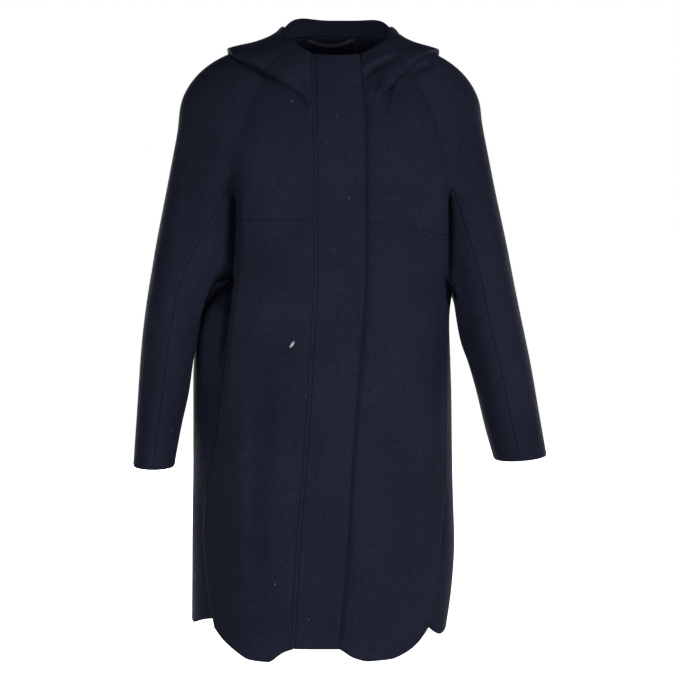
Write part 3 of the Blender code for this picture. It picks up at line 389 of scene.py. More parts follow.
# Loose fibres on the front: x, z, turn in degrees, length, radius.
LINT = (
    (-0.0641, -0.0651, 10.0, 0.0048, 0.00016),
    (0.0002, -0.0879, 60.0, 0.0024, 0.00014),
    (-0.0155, -0.1249, 20.0, 0.0024, 0.00012),
    (0.0174, -0.2049, 80.0, 0.0040, 0.00016),
    (-0.0041, -0.2794, 70.0, 0.0028, 0.00016),
    (-0.0445, -0.4881, 30.0, 0.0024, 0.00012),
    (-0.0896, -0.7613, 100.0, 0.0044, 0.00016),
    (-0.0404, -0.8111, 120.0, 0.0040, 0.00016),
    (-0.2427, -0.5449, 5.0, 0.0044, 0.00015),
    (0.2389, -0.2924, 0.0, 0.0040, 0.00015),
)
FLAKE_PLACE = (-0.0642, -0.4149)
FLAKE_LENGTH, FLAKE_WIDTH, FLAKE_HALF_THICKNESS, FLAKE_TURN = 0.0110, 0.0040, 0.0005, 55.0
FLAKE_LIFT, FLAKE_CURL = 0.0006, 0.0009  # its middle off the cloth, and its ends further
FLAKE_STEPS, FLAKE_AROUND = 12, 10
LINT_STEPS, LINT_AROUND = 6, 5
LINT_BEND, LINT_TIP = 0.18, 0.2  # how much a fibre bends, by its length, and its tip's share of its radius
FLAKE_POWER, FLAKE_TIP = 1.6, 0.015  # roundness of the flake's outline, and how blunt its ends are
IN_FRONT_Y = -0.4  # a place well in front of the coat

# Flat cuts: width, length, area, and how each piece is held.
CUTS_FLAT = {
    "yoke_sleeve_right": (0.42, 0.70, 0.176, "hung"),
    "yoke_sleeve_left": (0.42, 0.70, 0.171, "hung"),
    "under_sleeve_right": (0.17, 0.42, 0.068, "hung"),
    "under_sleeve_left": (0.16, 0.41, 0.056, "hung"),
    "front_right": (0.18, 0.65, 0.110, "hung"),
    "front_left": (0.23, 0.65, 0.131, "hung"),
    "front_band": (0.069, 0.88, 0.0585, "hung"),
    "back": (0.62, 0.98, 0.485, "hung"),
    "hood_left": (0.30, 0.42, 0.096, "folded"),
    "hood_right": (0.30, 0.42, 0.099, "folded"),
}

# ---- studio ----
LENS, SENSOR_WIDTH = 116.47, 36.0  # mm
CAMERA_PLACE = (0.0045, -3.2938, -0.2155)
CAMERA_DOWN = 3.5
WORLD_STRENGTH = 0.06  # light from all round
WORLD_SEEN = 1.0  # the same world where it is seen past the coat
FLOOR_HALF = 60.0
FLOOR_Z = -1.02
FLOOR_GLOW = 0.96
LIGHTS = (
    ("front_right", (-1.6, -3.4, -0.85), (0.0, 0.0, -0.60), (1.0, 1.2), 84.0),
    ("side_left", (2.4, -3.0, -0.65), (0.0, 0.0, -0.60), (1.2, 1.4), 112.0),
    ("above", (0.6, -2.2, 1.7), (0.08, 0.0, -0.05), (1.2, 0.8), 12.0),
    ("low", (0.1, -1.5, -0.86), (0.05, 0.0, -0.75), (1.2, 0.2), 3.8),
    ("rear_right", (-1.5, 3.4, 0.1), (0.0, 0.0, -0.45), (1.2, 1.6), 112.0),
    ("rear_left", (2.0, 3.4, -0.1), (0.0, 0.0, -0.45), (1.2, 1.6), 78.0),
)


def sine_cosine(degrees):
    """Sine and cosine of an angle in degrees."""
    return math.sin(math.radians(degrees)), math.cos(math.radians(degrees))


def unit(vectors):
    """Vectors of length 1, along the last axis."""
    return vectors / np.maximum(np.linalg.norm(vectors, axis=-1, keepdims=True), 1e-12)


def lengths_along(line):
    """Distance of each point of a line from its start."""
    return np.concatenate([[0.0], np.cumsum(np.linalg.norm(np.diff(line, axis=0), axis=1))])


def tree_of(points):
    """Search tree of some points."""
    tree = KDTree(len(points))
    for number, point in enumerate(points):
        tree.insert(point, number)
    tree.balance()
    return tree


def swing(x, z, share):
    """How far back the coat's right side hangs, by share of the half width."""
    if x > MID_X:
        return 0.0
    grown = min(max((SWING_TOP_Z - z) / (SWING_TOP_Z - SWING_FULL_Z), 0.0), 1.0)
    return RIGHT_SWING * share ** 3 * grown


def half_width(z, left):
    """Distance from the middle of the section to its side, signed as x is."""
    return BODY(z, "left_x" if left else "right_x") - MID_X


def spread(x, z):
    """Share of the section's half width at x, from 0 in the middle to 1 at the side."""
    return min(abs((x - MID_X) / half_width(z, x > MID_X)), 1.0)


def body_at_x(x, z, face):
    """Point of the body's front or back at a given x and level."""
    share = spread(x, z)
    depth = BODY(z, face) * (1.0 - share ** SECTION_POWER) ** (1.0 / SECTION_POWER)
    return np.array([x, (-depth if face == "front" else depth) + swing(x, z, share), z])


def body_at_turn(turn, z):
    """Point of the body's section by angle: 0 front, 90 wearer's left, 180 back, 270 right."""
    sine, cosine = sine_cosine(turn)
    depth = BODY(z, "front" if cosine > 0 else "back")
    across = abs(sine) ** (2.0 / SECTION_POWER)
    along = abs(cosine) ** (2.0 / SECTION_POWER)
    x = MID_X + half_width(z, sine > 0) * across
    return np.array([x, -math.copysign(depth * along, cosine) + swing(x, z, across), z])


def turn_of_x(x, z):
    """Angle off the section's front or back middle at which it reaches x."""
    return math.degrees(math.asin(spread(x, z) ** (SECTION_POWER / 2.0)))


def sleeve_frame(table, t):
    """Outer and inner line, middle and half depth of a sleeve at share t of its length."""
    return [table(t, name) for name in table.names[1:]]


def sleeve_ring(table, turn, t):
    """Point of a sleeve: turn 0 is the outer line, 90 the front, 180 the inner line."""
    outer_x, outer_z, inner_x, inner_z, middle_y, half_depth = sleeve_frame(table, t)
    middle = np.array([(outer_x + inner_x) / 2, middle_y, (outer_z + inner_z) / 2])
    reach = np.array([(outer_x - inner_x) / 2, 0.0, (outer_z - inner_z) / 2])
    length = np.linalg.norm(reach)
    inward = np.array([-reach[2], 0.0, reach[0]]) / length
    inward *= math.copysign(1.0, -inward[0] * outer_x)
    bow = ARM_OPENING_BOW * max(0.0, 1.0 - t / OPENING_FADE) ** 2
    sine, cosine = sine_cosine(turn)
    depth = np.array([0.0, -half_depth, 0.0])
    return middle + reach * cosine + depth * sine + inward * bow * sine * sine


@functools.lru_cache(maxsize=None)
def neck_point(angle):
    """Neck base loop by angle: 0 front, 90 wearer's left, 180 back."""
    sine, cosine = sine_cosine(angle)
    return np.array([NECK_HALF_WIDTH * sine, -NECK_HALF_DEPTH * cosine, NECK_MID_HEIGHT - NECK_TILT * cosine])


def over_shoulder(table, share):
    """First sleeve ring over the shoulder, from the front parting point (0) to the back one (1)."""
    turn = ARM_OPENING_ANGLE * (1.0 - 2.0 * share)
    side = "left_x" if table is SLEEVE_LEFT else "right_x"
    face = "front" if share < 0.5 else "back"
    part = body_at_x(EDGE(CHEST_Z, side), CHEST_Z, face)
    end = sleeve_ring(table, math.copysign(ARM_OPENING_ANGLE, turn), 0.0)
    return sleeve_ring(table, turn, 0.0) + (part - end) * (2.0 * share - 1.0) ** 2


@functools.lru_cache(maxsize=None)
def chest_point(angle):
    """Loop at chest level by angle round the neck: fronts, over both shoulders, and back."""
    angle = (angle + PART_ANGLE) % 360.0 - PART_ANGLE
    if angle <= PART_ANGLE:
        marks = (-PART_ANGLE, -BAND_ANGLE, BAND_ANGLE, PART_ANGLE)
        xs = (EDGE(CHEST_Z, "right_x"), BAND(CHEST_Z, "sewn_x"), BAND(CHEST_Z, "free_x"),
              EDGE(CHEST_Z, "left_x"))
        return body_at_x(float(np.interp(angle, marks, xs)), CHEST_Z, "front")
    if angle < 180.0 - PART_ANGLE:
        return over_shoulder(SLEEVE_LEFT, (angle - PART_ANGLE) / (180.0 - 2 * PART_ANGLE))
    if angle <= 180.0 + PART_ANGLE:
        share = (angle - 180.0 + PART_ANGLE) / (2 * PART_ANGLE)
        left, right = EDGE(CHEST_Z, "left_x"), EDGE(CHEST_Z, "right_x")
        return body_at_x(left + (right - left) * share, CHEST_Z, "back")
    share = (angle - 180.0 - PART_ANGLE) / (180.0 - 2 * PART_ANGLE)
    return over_shoulder(SLEEVE_RIGHT, 1.0 - share)


def yoke_point(angle, s):
    """Point between the neck base (s = 0) and the chest loop (s = 1)."""
    start, end = neck_point(angle), chest_point(angle)
    sideways = math.sin(math.radians(angle))
    round_over = FRONT_DROP + (1.0 - FRONT_DROP) * sideways ** 2
    full = SHOULDER_FULLNESS_RIGHT if sideways < 0 else SHOULDER_FULLNESS_LEFT
    power = 2.0 + full * sideways ** 2
    out = math.sin(s * math.pi / 2)
    down = round_over * (1.0 - (1.0 - out ** power) ** (1.0 / power)) + (1.0 - round_over) * out
    point = start + (end - start) * out
    point[2] = start[2] + (end[2] - start[2]) * down
    return point


@functools.lru_cache(maxsize=None)
def surface_line(angle):
    """Points from the neck base outward at one angle, and their distances along the cloth."""
    line = [yoke_point(angle, s) for s in LINE_SHARES]
    line += [line[-1] - np.array([0.0, 0.0, down]) for down in BELOW_CHEST]
    line = np.array(line)
    if 180.0 - PART_ANGLE <= angle <= 180.0 + PART_ANGLE:
        below = len(LINE_SHARES)
        line[below:] = [body_at_x(p[0], p[2], "back") for p in line[below:]]
    return line, lengths_along(line)


def surface_point(angle, distance):
    """Point of the shoulders at a distance outward from the neck base."""
    line, lengths = surface_line(angle % 360.0)
    if distance < 0:
        return line[0] - unit(line[0] - line[1]) * distance
    return np.array([np.interp(distance, lengths, line[:, axis]) for axis in range(3)])


def surface_normal(angle, distance):
    """Outward normal of the shoulders there."""
    nearer, further = max(distance - NORMAL_REACH, 0.0), distance + NORMAL_REACH
    along = surface_point(angle, further) - surface_point(angle, nearer)
    across = surface_point(angle + NORMAL_TURN, distance) - surface_point(angle - NORMAL_TURN, distance)
    return unit(np.cross(along, across))


def share_at_distance(angle, distance):
    """Share s of yoke_point that lies a distance from the neck base."""
    _, lengths = surface_line(angle % 360.0)
    return float(np.interp(distance, lengths[:len(LINE_SHARES)], LINE_SHARES))


# ---- nets of points: the whole outer surface, shared by the pieces ----
class Net:
    """Quads on shared points, each quad named for the piece it belongs to."""

    def __init__(self):
        self.points = []
        self.index = {}
        self.faces = []

    def point(self, position, layer=0):
        """Number of the point at a position; places within a micron are the same point."""
        key = tuple(int(round(value * 1e6)) for value in position) + (layer,)
        if key not in self.index:
            self.index[key] = len(self.points)
            self.points.append(np.array(position, dtype=float))
        return self.index[key]

    def grid(self, rows, piece, flip=False, apart=()):
        """Add the quads of rows of points; piece is a name or a function of (row, column).

        The first row's columns in apart do not share their points with other grids.
        """
        numbers = [[self.point(p, 1 if r == 0 and c in apart else 0) for c, p in enumerate(row)]
                   for r, row in enumerate(rows)]
        for r in range(len(numbers) - 1):
            for c in range(len(numbers[r]) - 1):
                quad = [numbers[r][c], numbers[r + 1][c], numbers[r + 1][c + 1], numbers[r][c + 1]]
                name = piece(r, c) if callable(piece) else piece
                self.faces.append((quad[::-1] if flip else quad, name))


# ---- the coat's surface ----
def front_levels():
    """Rows of the fronts below the chest loop: each a function of x that gives the level."""
    levels = [lambda x: CHEST_Z, lambda x: YOKE_SEAM(x, "z"), lambda x: (YOKE_SEAM(x, "z") + ARMPIT_Z) / 2]
    for row in range(BODY_ROWS + 1):
        share = row / BODY_ROWS
        levels.append(lambda x, share=share: ARMPIT_Z + (FRONT_HEM(x, "z") - ARMPIT_Z) * share)
    return levels


def front_x(name, z):
    """Where a named edge of the fronts or the band lies at a level."""
    return BAND(z, name) if name in ("sewn_x", "free_x") else EDGE(z, name)


def front_row(level, start, end, shares):
    """Points across a stretch of the front, between two named edges."""
    row = []
    for share in shares:
        z = level(0.0)
        for _ in range(LEVEL_ROUNDS):
            x = front_x(start, z) + (front_x(end, z) - front_x(start, z)) * share
            z = level(x)
        row.append(body_at_x(x, z, "front"))
    return row


def panel_grid(side):
    """Rows of a front between its armhole column and the band, from the neck seam to the hem."""
    edge, band_edge = ("right_x", "sewn_x") if side == "right" else ("left_x", "free_x")
    sign = -1.0 if side == "right" else 1.0
    angles = [sign * (PART_ANGLE + (BAND_ANGLE - PART_ANGLE) * share) for share in PANEL_STEPS]
    rows = yoke_rows(angles)
    rows += [front_row(level, edge, band_edge, PANEL_STEPS) for level in front_levels()[1:]]
    return [row[::-1] for row in rows] if side == "left" else rows


def yoke_rows(angles):
    """Rows from the hood's seam to the chest loop."""
    starts = []
    for angle in angles:
        around = angle % 360.0
        lapped = around < HOOD_START or around > 360.0 - BAND_ANGLE - ANGLE_TOLERANCE
        under_band = lapped and angle > LAP_ANGLE - 1.0
        starts.append(share_at_distance(around, HOOD(HOOD_START if under_band else around, "seam")))
    return [[yoke_point(angle, start + (1.0 - start) * share) for angle, start in zip(angles, starts)]
            for share in np.linspace(0.0, 1.0, YOKE_ROWS + 1)]


def shoulder_rows(side):
    """Rows over one shoulder, from the hood's seam to the first sleeve ring."""
    first = PART_ANGLE if side == "left" else 180.0 + PART_ANGLE
    return yoke_rows(np.linspace(first, first + 180.0 - 2 * PART_ANGLE, OVER_STEPS + 1))


def back_rows():
    """Rows of the back between its armhole columns, from the hood's seam to the armpit level."""
    rows = yoke_rows(np.linspace(180.0 - PART_ANGLE, 180.0 + PART_ANGLE, BACK_STEPS + 1))
    for level in front_levels()[1:4]:
        z_left, z_right = (level(x) for x in ARMHOLE_X)
        row = []
        for share in np.linspace(0.0, 1.0, BACK_STEPS + 1):
            z = z_left + (z_right - z_left) * share
            left, right = EDGE(z, "left_x"), EDGE(z, "right_x")
            row.append(body_at_x(left + (right - left) * share, z, "back"))
        rows.append(row)
    return rows


def wrap_rows():
    """Rows of the back with both side strips, from the armpit level to the hem."""
    rows = []
    for row_number in range(BODY_ROWS + 1):
        row = []
        for c in range(WRAP_STEPS + 1):
            under_arm = min(c, WRAP_STEPS - c, SIDE_STEPS) / SIDE_STEPS
            top = ARMPIT_Z - ARMPIT_DIP * math.sin(math.pi * under_arm)
            z = top + (BACK_HEM(c / WRAP_STEPS, "z") - top) * row_number / BODY_ROWS
            row.append(wrap_point(c, z, row_number > SLIT_ROW))
        rows.append(row)
    left, right = panel_grid("left"), panel_grid("right")
    for row, left_row, right_row in zip(rows[:SLIT_ROW + 1], left[YOKE_ROWS + 3:], right[YOKE_ROWS + 3:]):
        row[0], row[-1] = left_row[-1], right_row[0]
    return rows


def wrap_point(c, z, slit):
    """Point of the back's wrap: left side strip, back, right side strip."""
    for side, sign, column in (("left", 1.0, c), ("right", -1.0, WRAP_STEPS - c)):
        if column <= SIDE_STEPS:
            x = EDGE(z, side + "_x") - sign * (TUCK(z, side + "_under") if slit else 0.0)
            first = turn_of_x(x, z)
            last = 180.0 - turn_of_x(EDGE(max(z, EDGE_END_Z), side + "_x"), z)
            share = column / SIDE_STEPS
            point = body_at_turn(sign * (first + (last - first) * share), z)
            return tuck_in(point, z, share) if slit else point
    left, right = (EDGE(max(z, EDGE_END_Z), name) for name in ("left_x", "right_x"))
    return body_at_x(left + (right - left) * (c - SIDE_STEPS) / BACK_STEPS, z, "back")


def tuck_in(point, z, share):
    """Move a side strip's edge in behind the front panel; the next column keeps its place."""
    inward = TUCK(z, "inward") * max(0.0, 1.0 - share * SIDE_STEPS / TUCKED_COLUMNS)
    reach = spread(point[0], z)
    across = -reach ** (SECTION_POWER - 1.0) / half_width(z, point[0] > MID_X)
    along = (1.0 - reach ** SECTION_POWER) ** (1.0 - 1.0 / SECTION_POWER) / BODY(z, "front")
    toward = np.array([across, along, 0.0])
    return point + unit(toward) * inward


def sleeve_rows(side, ring):
    """Rings of a sleeve from the armhole's own points to the cuff."""
    table = SLEEVE_LEFT if side == "left" else SLEEVE_RIGHT
    count = len(ring)
    first = opening_turns(side, count)
    rows = []
    for row_number in range(SLEEVE_ROWS + 1):
        t = row_number / SLEEVE_ROWS
        fade = max(0.0, 1.0 - t / OPENING_FADE) ** 2
        row = []
        for j in range(count):
            even = even_turn(side, j, count - 1)
            turn = even + (first[j] - even) * max(0.0, 1.0 - t / OPENING_FADE)
            point = sleeve_ring(table, turn, t)
            row.append(point + (ring[j] - sleeve_ring(table, first[j], 0.0)) * fade)
        rows.append(row)
    return rows


def even_turn(side, j, count):
    """Turn of a sleeve's column j once the armhole's form has faded."""
    under = count - OVER_STEPS
    if j <= OVER_STEPS:
        turn = UNDER_SEAM_TURN * (1.0 - 2.0 * j / OVER_STEPS)
    else:
        turn = -UNDER_SEAM_TURN - (360.0 - 2 * UNDER_SEAM_TURN) * (j - OVER_STEPS) / under
    return turn if side == "left" else -turn


def opening_turns(side, count):
    """Turn of each column at the armhole: over the shoulder, down one leg, under, up the other."""
    over = [ARM_OPENING_ANGLE * (1.0 - 2.0 * j / OVER_STEPS) for j in range(OVER_STEPS + 1)]
    legs = [-turn for turn in LEG_TURNS]
    under = [-LEG_TURNS[-1] - (360.0 - 2 * LEG_TURNS[-1]) * j / SIDE_STEPS for j in range(1, SIDE_STEPS)]
    back_up = [turn - 360.0 for turn in LEG_TURNS[::-1]] + [ARM_OPENING_ANGLE - 360.0]
    turns = over + legs + under + back_up
    assert len(turns) == count
    return turns if side == "left" else [-turn for turn in turns]


def armhole_ring(side, shoulder, front, back, wrap):
    """Closed loop of points of an armhole, in the sleeve's column order."""
    legs = range(YOKE_ROWS + 1, YOKE_ROWS + 4)
    if side == "left":
        down, up = [back[r][0] for r in legs], [front[r][-1] for r in legs]
        under = wrap[0][SIDE_STEPS - 1:0:-1]
    else:
        down, up = [front[r][0] for r in legs], [back[r][-1] for r in legs]
        under = wrap[0][-2:-SIDE_STEPS - 1:-1]
    return shoulder[-1] + down + under + up[::-1] + [shoulder[-1][0]]


def shell_net():
    """The fronts, back, shoulders and sleeves as one net."""
    net = Net()
    right, left, back, wrap = panel_grid("right"), panel_grid("left"), back_rows(), wrap_rows()
    yoke_end = YOKE_ROWS + 1
    net.grid(right[:yoke_end + 1], "yoke_sleeve_right")
    net.grid(right[yoke_end:], "front_right")
    moved = left_under_band(left)
    net.grid(moved[:yoke_end + 1], "yoke_sleeve_left")
    net.grid(moved[yoke_end:], "front_left")
    net.grid(back, "back")
    net.grid(wrap, "back")
    for side, front in (("left", left), ("right", right)):
        shoulder = shoulder_rows(side)
        net.grid(shoulder, "yoke_sleeve_" + side)
        ring = armhole_ring(side, shoulder, front, back, wrap)
        net.grid(sleeve_rows(side, ring),
                 lambda r, c, side=side: ("yoke_sleeve_" if c < OVER_STEPS else "under_sleeve_") + side,
                 apart=range(OVER_STEPS + 1, len(ring) - 1))
    return net


def left_under_band(left):
    """The left front carried on under the band, behind it by LAP_DEPTH."""
    share = (LAP_ANGLE + BAND_ANGLE) / (2 * BAND_ANGLE)
    lap = yoke_rows(np.linspace(LAP_ANGLE, BAND_ANGLE, LAP_STEPS + 1))
    for level in front_levels()[1:]:
        lap.append(front_row(level, "sewn_x", "free_x", np.linspace(share, 1.0, LAP_STEPS + 1)))
    net = Net()
    net.grid(lap, "front_left")
    normals = normals_of(np.array(net.points), np.array([quad for quad, _ in net.faces]))
    return [[p - normals[net.point(p)] * LAP_DEPTH for p in row] + left[r][1:]
            for r, row in enumerate(lap)]


def band_net():
    """The band, from the neck to the hem."""
    angles = np.linspace(-BAND_ANGLE, BAND_ANGLE, BAND_STEPS + 1)
    shares = np.linspace(0.0, 1.0, BAND_STEPS + 1)
    rows = [[yoke_point(angle, s) for angle in angles] for s in np.linspace(0.0, 1.0, YOKE_ROWS + 1)]
    rows += [front_row(level, "sewn_x", "free_x", shares) for level in front_levels()[1:]]
    net = Net()
    net.grid(rows, "front_band")
    return net


# ---- hood ----
def hood_profile(angle):
    """Points across the hood's cloth at one angle, seam to face edge: distance out, height."""
    size = {name: HOOD(angle, name) for name in HOOD.names[1:]}
    seam, roll, nose, edge = size["seam"], size["roll"], size["nose"], size["edge"]
    run = roll - seam
    hump = size["crest"] - HOOD_LIFT
    rolled = np.array([
        (seam, HOOD_SEAM_LIFT),
        (seam + CREST_OUT, size["crest"]),
        (seam + CREST_END + CREST_RUN * run, HOOD_LIFT + CREST_FALL * hump),
        (seam + run / 2, HOOD_LIFT + CREST_FOOT * hump),
        (roll - nose, HOOD_LIFT),
        (roll, HOOD_LIFT + nose),
        (roll - nose, HOOD_LIFT + 2.0 * nose),
        (roll + (edge - roll) * 0.5, size["top"]),
        (edge, size["edge_up"]),
    ])
    flat = np.linspace(rolled[0], rolled[4], 5)
    rolled_over = min(max((run - LEAST_ROLL) / (FULL_ROLL - LEAST_ROLL), 0.0), 1.0)
    rolled[:5] = flat + (rolled[:5] - flat) * rolled_over
    rolled = along_curve(rolled, HOOD_STEPS_DOWN)
    turns = np.radians(np.linspace(-90.0, 90.0, 2 * HOOD_STEPS_DOWN + 1))
    first = 4 * HOOD_STEPS_DOWN
    rolled[first:first + len(turns)] = np.column_stack([roll - nose + nose * np.cos(turns),
                                                        HOOD_LIFT + nose + nose * np.sin(turns)])
    lengths = lengths_along(rolled)
    q = lengths / lengths[-1]
    if angle < GROOVE.places[-1]:
        out, depth = GROOVE(angle, "out"), GROOVE(angle, "depth")
        upper = np.arange(len(q)) > np.argmax(rolled[:, 0])
        rolled[:, 1] -= upper * depth * np.exp(-((rolled[:, 0] - out) / GROOVE_HALF_WIDTH) ** 2)
    flush = np.column_stack([seam + (edge - seam) * q, size["edge_up"] * q])
    return rolled * size["fold"] + flush * (1.0 - size["fold"])


def along_curve(points, steps):
    """Smooth curve through the points, with a number of steps between each two of them."""
    ends = np.vstack([2 * points[0] - points[1], points, 2 * points[-1] - points[-2]])
    curve = []
    for i in range(1, len(ends) - 2):
        p0, p1, p2, p3 = ends[i - 1:i + 3]
        for t in np.arange(steps) / steps:
            curve.append(0.5 * (2 * p1 + (p2 - p0) * t + (2 * p0 - 5 * p1 + 4 * p2 - p3) * t * t
                                + (3 * p1 - p0 - 3 * p2 + p3) * t ** 3))
    curve.append(points[-1])
    return np.array(curve)


def hood_angles():
    """Angles of the left half's sections: the same as the columns of the cloth below."""
    panel = [BAND_ANGLE + (PART_ANGLE - BAND_ANGLE) * (1.0 - share) for share in PANEL_STEPS[::-1]]
    over = list(np.linspace(PART_ANGLE, 180.0 - PART_ANGLE, OVER_STEPS + 1))
    back = list(np.linspace(180.0 - PART_ANGLE, 180.0, BACK_STEPS // 2 + 1))
    return [HOOD_START] + panel[1:] + over[1:] + back[1:]


def hood_net():
    """Both halves of the hood, meeting at the centre back; the left one runs on under the band."""
    net = Net()
    lap = list(np.linspace(LAP_ANGLE, BAND_ANGLE, LAP_STEPS + 1))
    left = hood_angles()
    right = [360.0 - angle for angle in left[::-1]]
    for name, angles in (("hood_left", lap + left[1:]), ("hood_right", right)):
        columns = []
        for angle in angles:
            profile = hood_profile(max(angle, HOOD_START))
            depth = LAP_DEPTH if angle in lap else 0.0
            columns.append([surface_point(angle, d) + surface_normal(angle, d) * (h - depth)
                            for d, h in profile])
        net.grid([list(row) for row in zip(*columns)], name, flip=True)
    return net


# ---- fine meshes ----
def subdivided(net, levels):
    """The net as a smooth fine mesh through its own points: points, quads and each quad's piece number."""
    names = sorted({piece for _, piece in net.faces})
    aim = np.array(net.points, dtype=float)
    mesh = bpy.data.meshes.new("net")
    mesh.from_pydata([tuple(p) for p in aim], [], [quad for quad, _ in net.faces])
    tag = mesh.attributes.new("piece", "INT", "FACE")
    for number, (_, piece) in enumerate(net.faces):
        tag.data[number].value = names.index(piece)
    carrier = bpy.data.objects.new("net", mesh)
    bpy.context.scene.collection.objects.link(carrier)
    modifier = carrier.modifiers.new("smooth", "SUBSURF")
    modifier.levels = modifier.render_levels = levels
    modifier.boundary_smooth = "PRESERVE_CORNERS"
    cage = aim.copy()
    for _ in range(FITTING_ROUNDS):
        cage += aim - fine_mesh(carrier)[0][:len(aim)]
        mesh.vertices.foreach_set("co", cage.ravel())
        mesh.update()
    points, quads, tags = fine_mesh(carrier)
    bpy.data.objects.remove(carrier, do_unlink=True)
    return points, quads, tags, names


def fine_mesh(carrier):
    """Points, quads and piece numbers of an object's mesh with its modifiers."""
    carrier.data.update_tag()
    fine = carrier.evaluated_get(bpy.context.evaluated_depsgraph_get()).to_mesh()
    points = np.empty(len(fine.vertices) * 3)
    fine.vertices.foreach_get("co", points)
    quads = np.empty(len(fine.polygons) * 4, dtype=int)
    fine.polygons.foreach_get("vertices", quads)
    tags = np.empty(len(fine.polygons), dtype=int)
    fine.attributes["piece"].data.foreach_get("value", tags)
    return points.reshape(-1, 3), quads.reshape(-1, 4), tags


def normals_of(points, quads):
    """Outward unit normal at every point of a quad mesh."""
    corners = points[quads]
    cross = np.cross(corners[:, 2] - corners[:, 0], corners[:, 3] - corners[:, 1])
    normals = np.zeros_like(points)
    for corner in range(4):
        np.add.at(normals, quads[:, corner], cross)
    return unit(normals)


def near_path(places, path):
    """Distance of each place from a path, share of its length there, and which side the place is on."""
    steps = np.linalg.norm(np.diff(path, axis=0), axis=1)
    total = steps.sum()
    best = np.full(len(places), np.inf)
    share = np.zeros(len(places))
    side = np.zeros(len(places))
    passed = 0.0
    for start, end, step in zip(path, path[1:], steps):
        run = end - start
        away = places - start
        t = np.clip(away @ run / step ** 2, 0.0, 1.0)
        distance = np.linalg.norm(away - t[:, None] * run, axis=1)
        nearer = distance < best
        best[nearer] = distance[nearer]
        share[nearer] = (passed + t[nearer] * step) / total
        side[nearer] = (run[0] * away[:, 1] - run[1] * away[:, 0])[nearer]
        passed += step
    return best, share, side


def eased(value):
    """From 0 to 1, leaving and arriving softly."""
    value = np.clip(value, 0.0, 1.0)
    return value * value * (3.0 - 2.0 * value)


def crease_spans(points, normals, narrow=False):
    """For each crease: how it runs, the points it reaches, how far across it they are, and how far along."""
    flat = points[:, [0, 2]]
    for sign, table in ((1.0, FRONT_CREASES), (-1.0, BACK_CREASES)):
        for depth, widths, fades, *path in table:
            widths = np.array(widths) / 1000.0
            if narrow and widths.min() >= WIDE_CREASE:
                continue
            line = along_curve(np.array(path) / 1000.0, CREASE_STEPS)
            margin = CREASE_MARGIN * widths.max()
            close = ((flat > line.min(axis=0) - margin) & (flat < line.max(axis=0) + margin)).all(axis=1)
            numbers = np.nonzero(close & (sign * normals[:, 1] < 0.0))[0]
            if len(numbers):
                distance, share, side = near_path(flat[numbers], line)
                across = distance / np.where(side > 0, widths[1], widths[0])
                yield sign, depth / 1000.0, fades, numbers, across, share


def crease_shift(points, normals):
    """How far the creases move some points straight in, towards the middle of the coat."""
    total = np.zeros(len(points))
    for sign, depth, (fade_in, fade_out), numbers, across, share in crease_spans(points, normals):
        ends = eased(share / fade_in) * eased((1.0 - share) / fade_out)
        facing = eased(np.abs(normals[numbers, 1]) / CREASE_FACING)
        nearer = eased((CREASE_PAST_MIDDLE - sign * points[numbers, 1]) / CREASE_FADE)
        total[numbers] += sign * depth * np.exp(-across ** 2) * ends * facing * nearer
    return total[:, None] * np.array([0.0, 1.0, 0.0])


def creased(points, normals):
    """The points moved into the creases, and the normals turned with them."""
    first = unit(np.cross(normals, CREASE_PROBE))
    second = np.cross(normals, first)
    moved = [places + crease_shift(places, normals)
             for places in (points, points + first * PROBE_STEP, points + second * PROBE_STEP)]
    return moved[0], unit(np.cross(moved[1] - moved[0], moved[2] - moved[0]))


def crease_reach(points, normals):
    """How far across the nearest narrow crease each point is, in hundredths of its width."""
    reach = np.ones(len(points))
    for _, _, _, numbers, across, _ in crease_spans(points, normals, narrow=True):
        reach[numbers] = np.minimum(reach[numbers], across * 0.01)
    return np.where(reach < CREASE_MARGIN * 0.01, reach, 1.0)


# ---- one cut piece: seam lines, edges and the wall ----
def dense(edges):
    """Points along a list of edges, close together."""
    places = []
    for a, b in edges:
        count = max(1, int(np.linalg.norm(b - a) / DENSE_SPACING))
        places += [a + (b - a) * i / count for i in range(count + 1)]
    return places


def distances_to(places, edges):
    """Distance of each place from the nearest of some edges, 1 where there are none."""
    if not edges:
        return np.ones(len(places))
    tree = tree_of(dense(edges))
    return np.array([tree.find(place)[2] for place in places])


def cut_at(bm, layer, value):
    """Cut the faces along the line where a layer of the points has a value."""
    fresh = []
    for edge in list(bm.edges):
        a, b = edge.verts
        da, db = a[layer] - value, b[layer] - value
        if da * db < 0 and max(a[layer], b[layer]) < 1.0 and min(abs(da), abs(db)) > CUT_TOLERANCE:
            made = bmesh.utils.edge_split(edge, a, da / (da - db))[1]
            made[layer] = value
            fresh.append(made)
    touched = {face for vert in fresh for face in vert.link_faces}
    near = set(fresh)
    for face in touched:
        ends = [v for v in face.verts if v in near or abs(v[layer] - value) <= CUT_TOLERANCE]
        if len(ends) == 2 and not any(e.other_vert(ends[0]) is ends[1] for e in ends[0].link_edges):
            bmesh.utils.face_split(face, ends[0], ends[1])


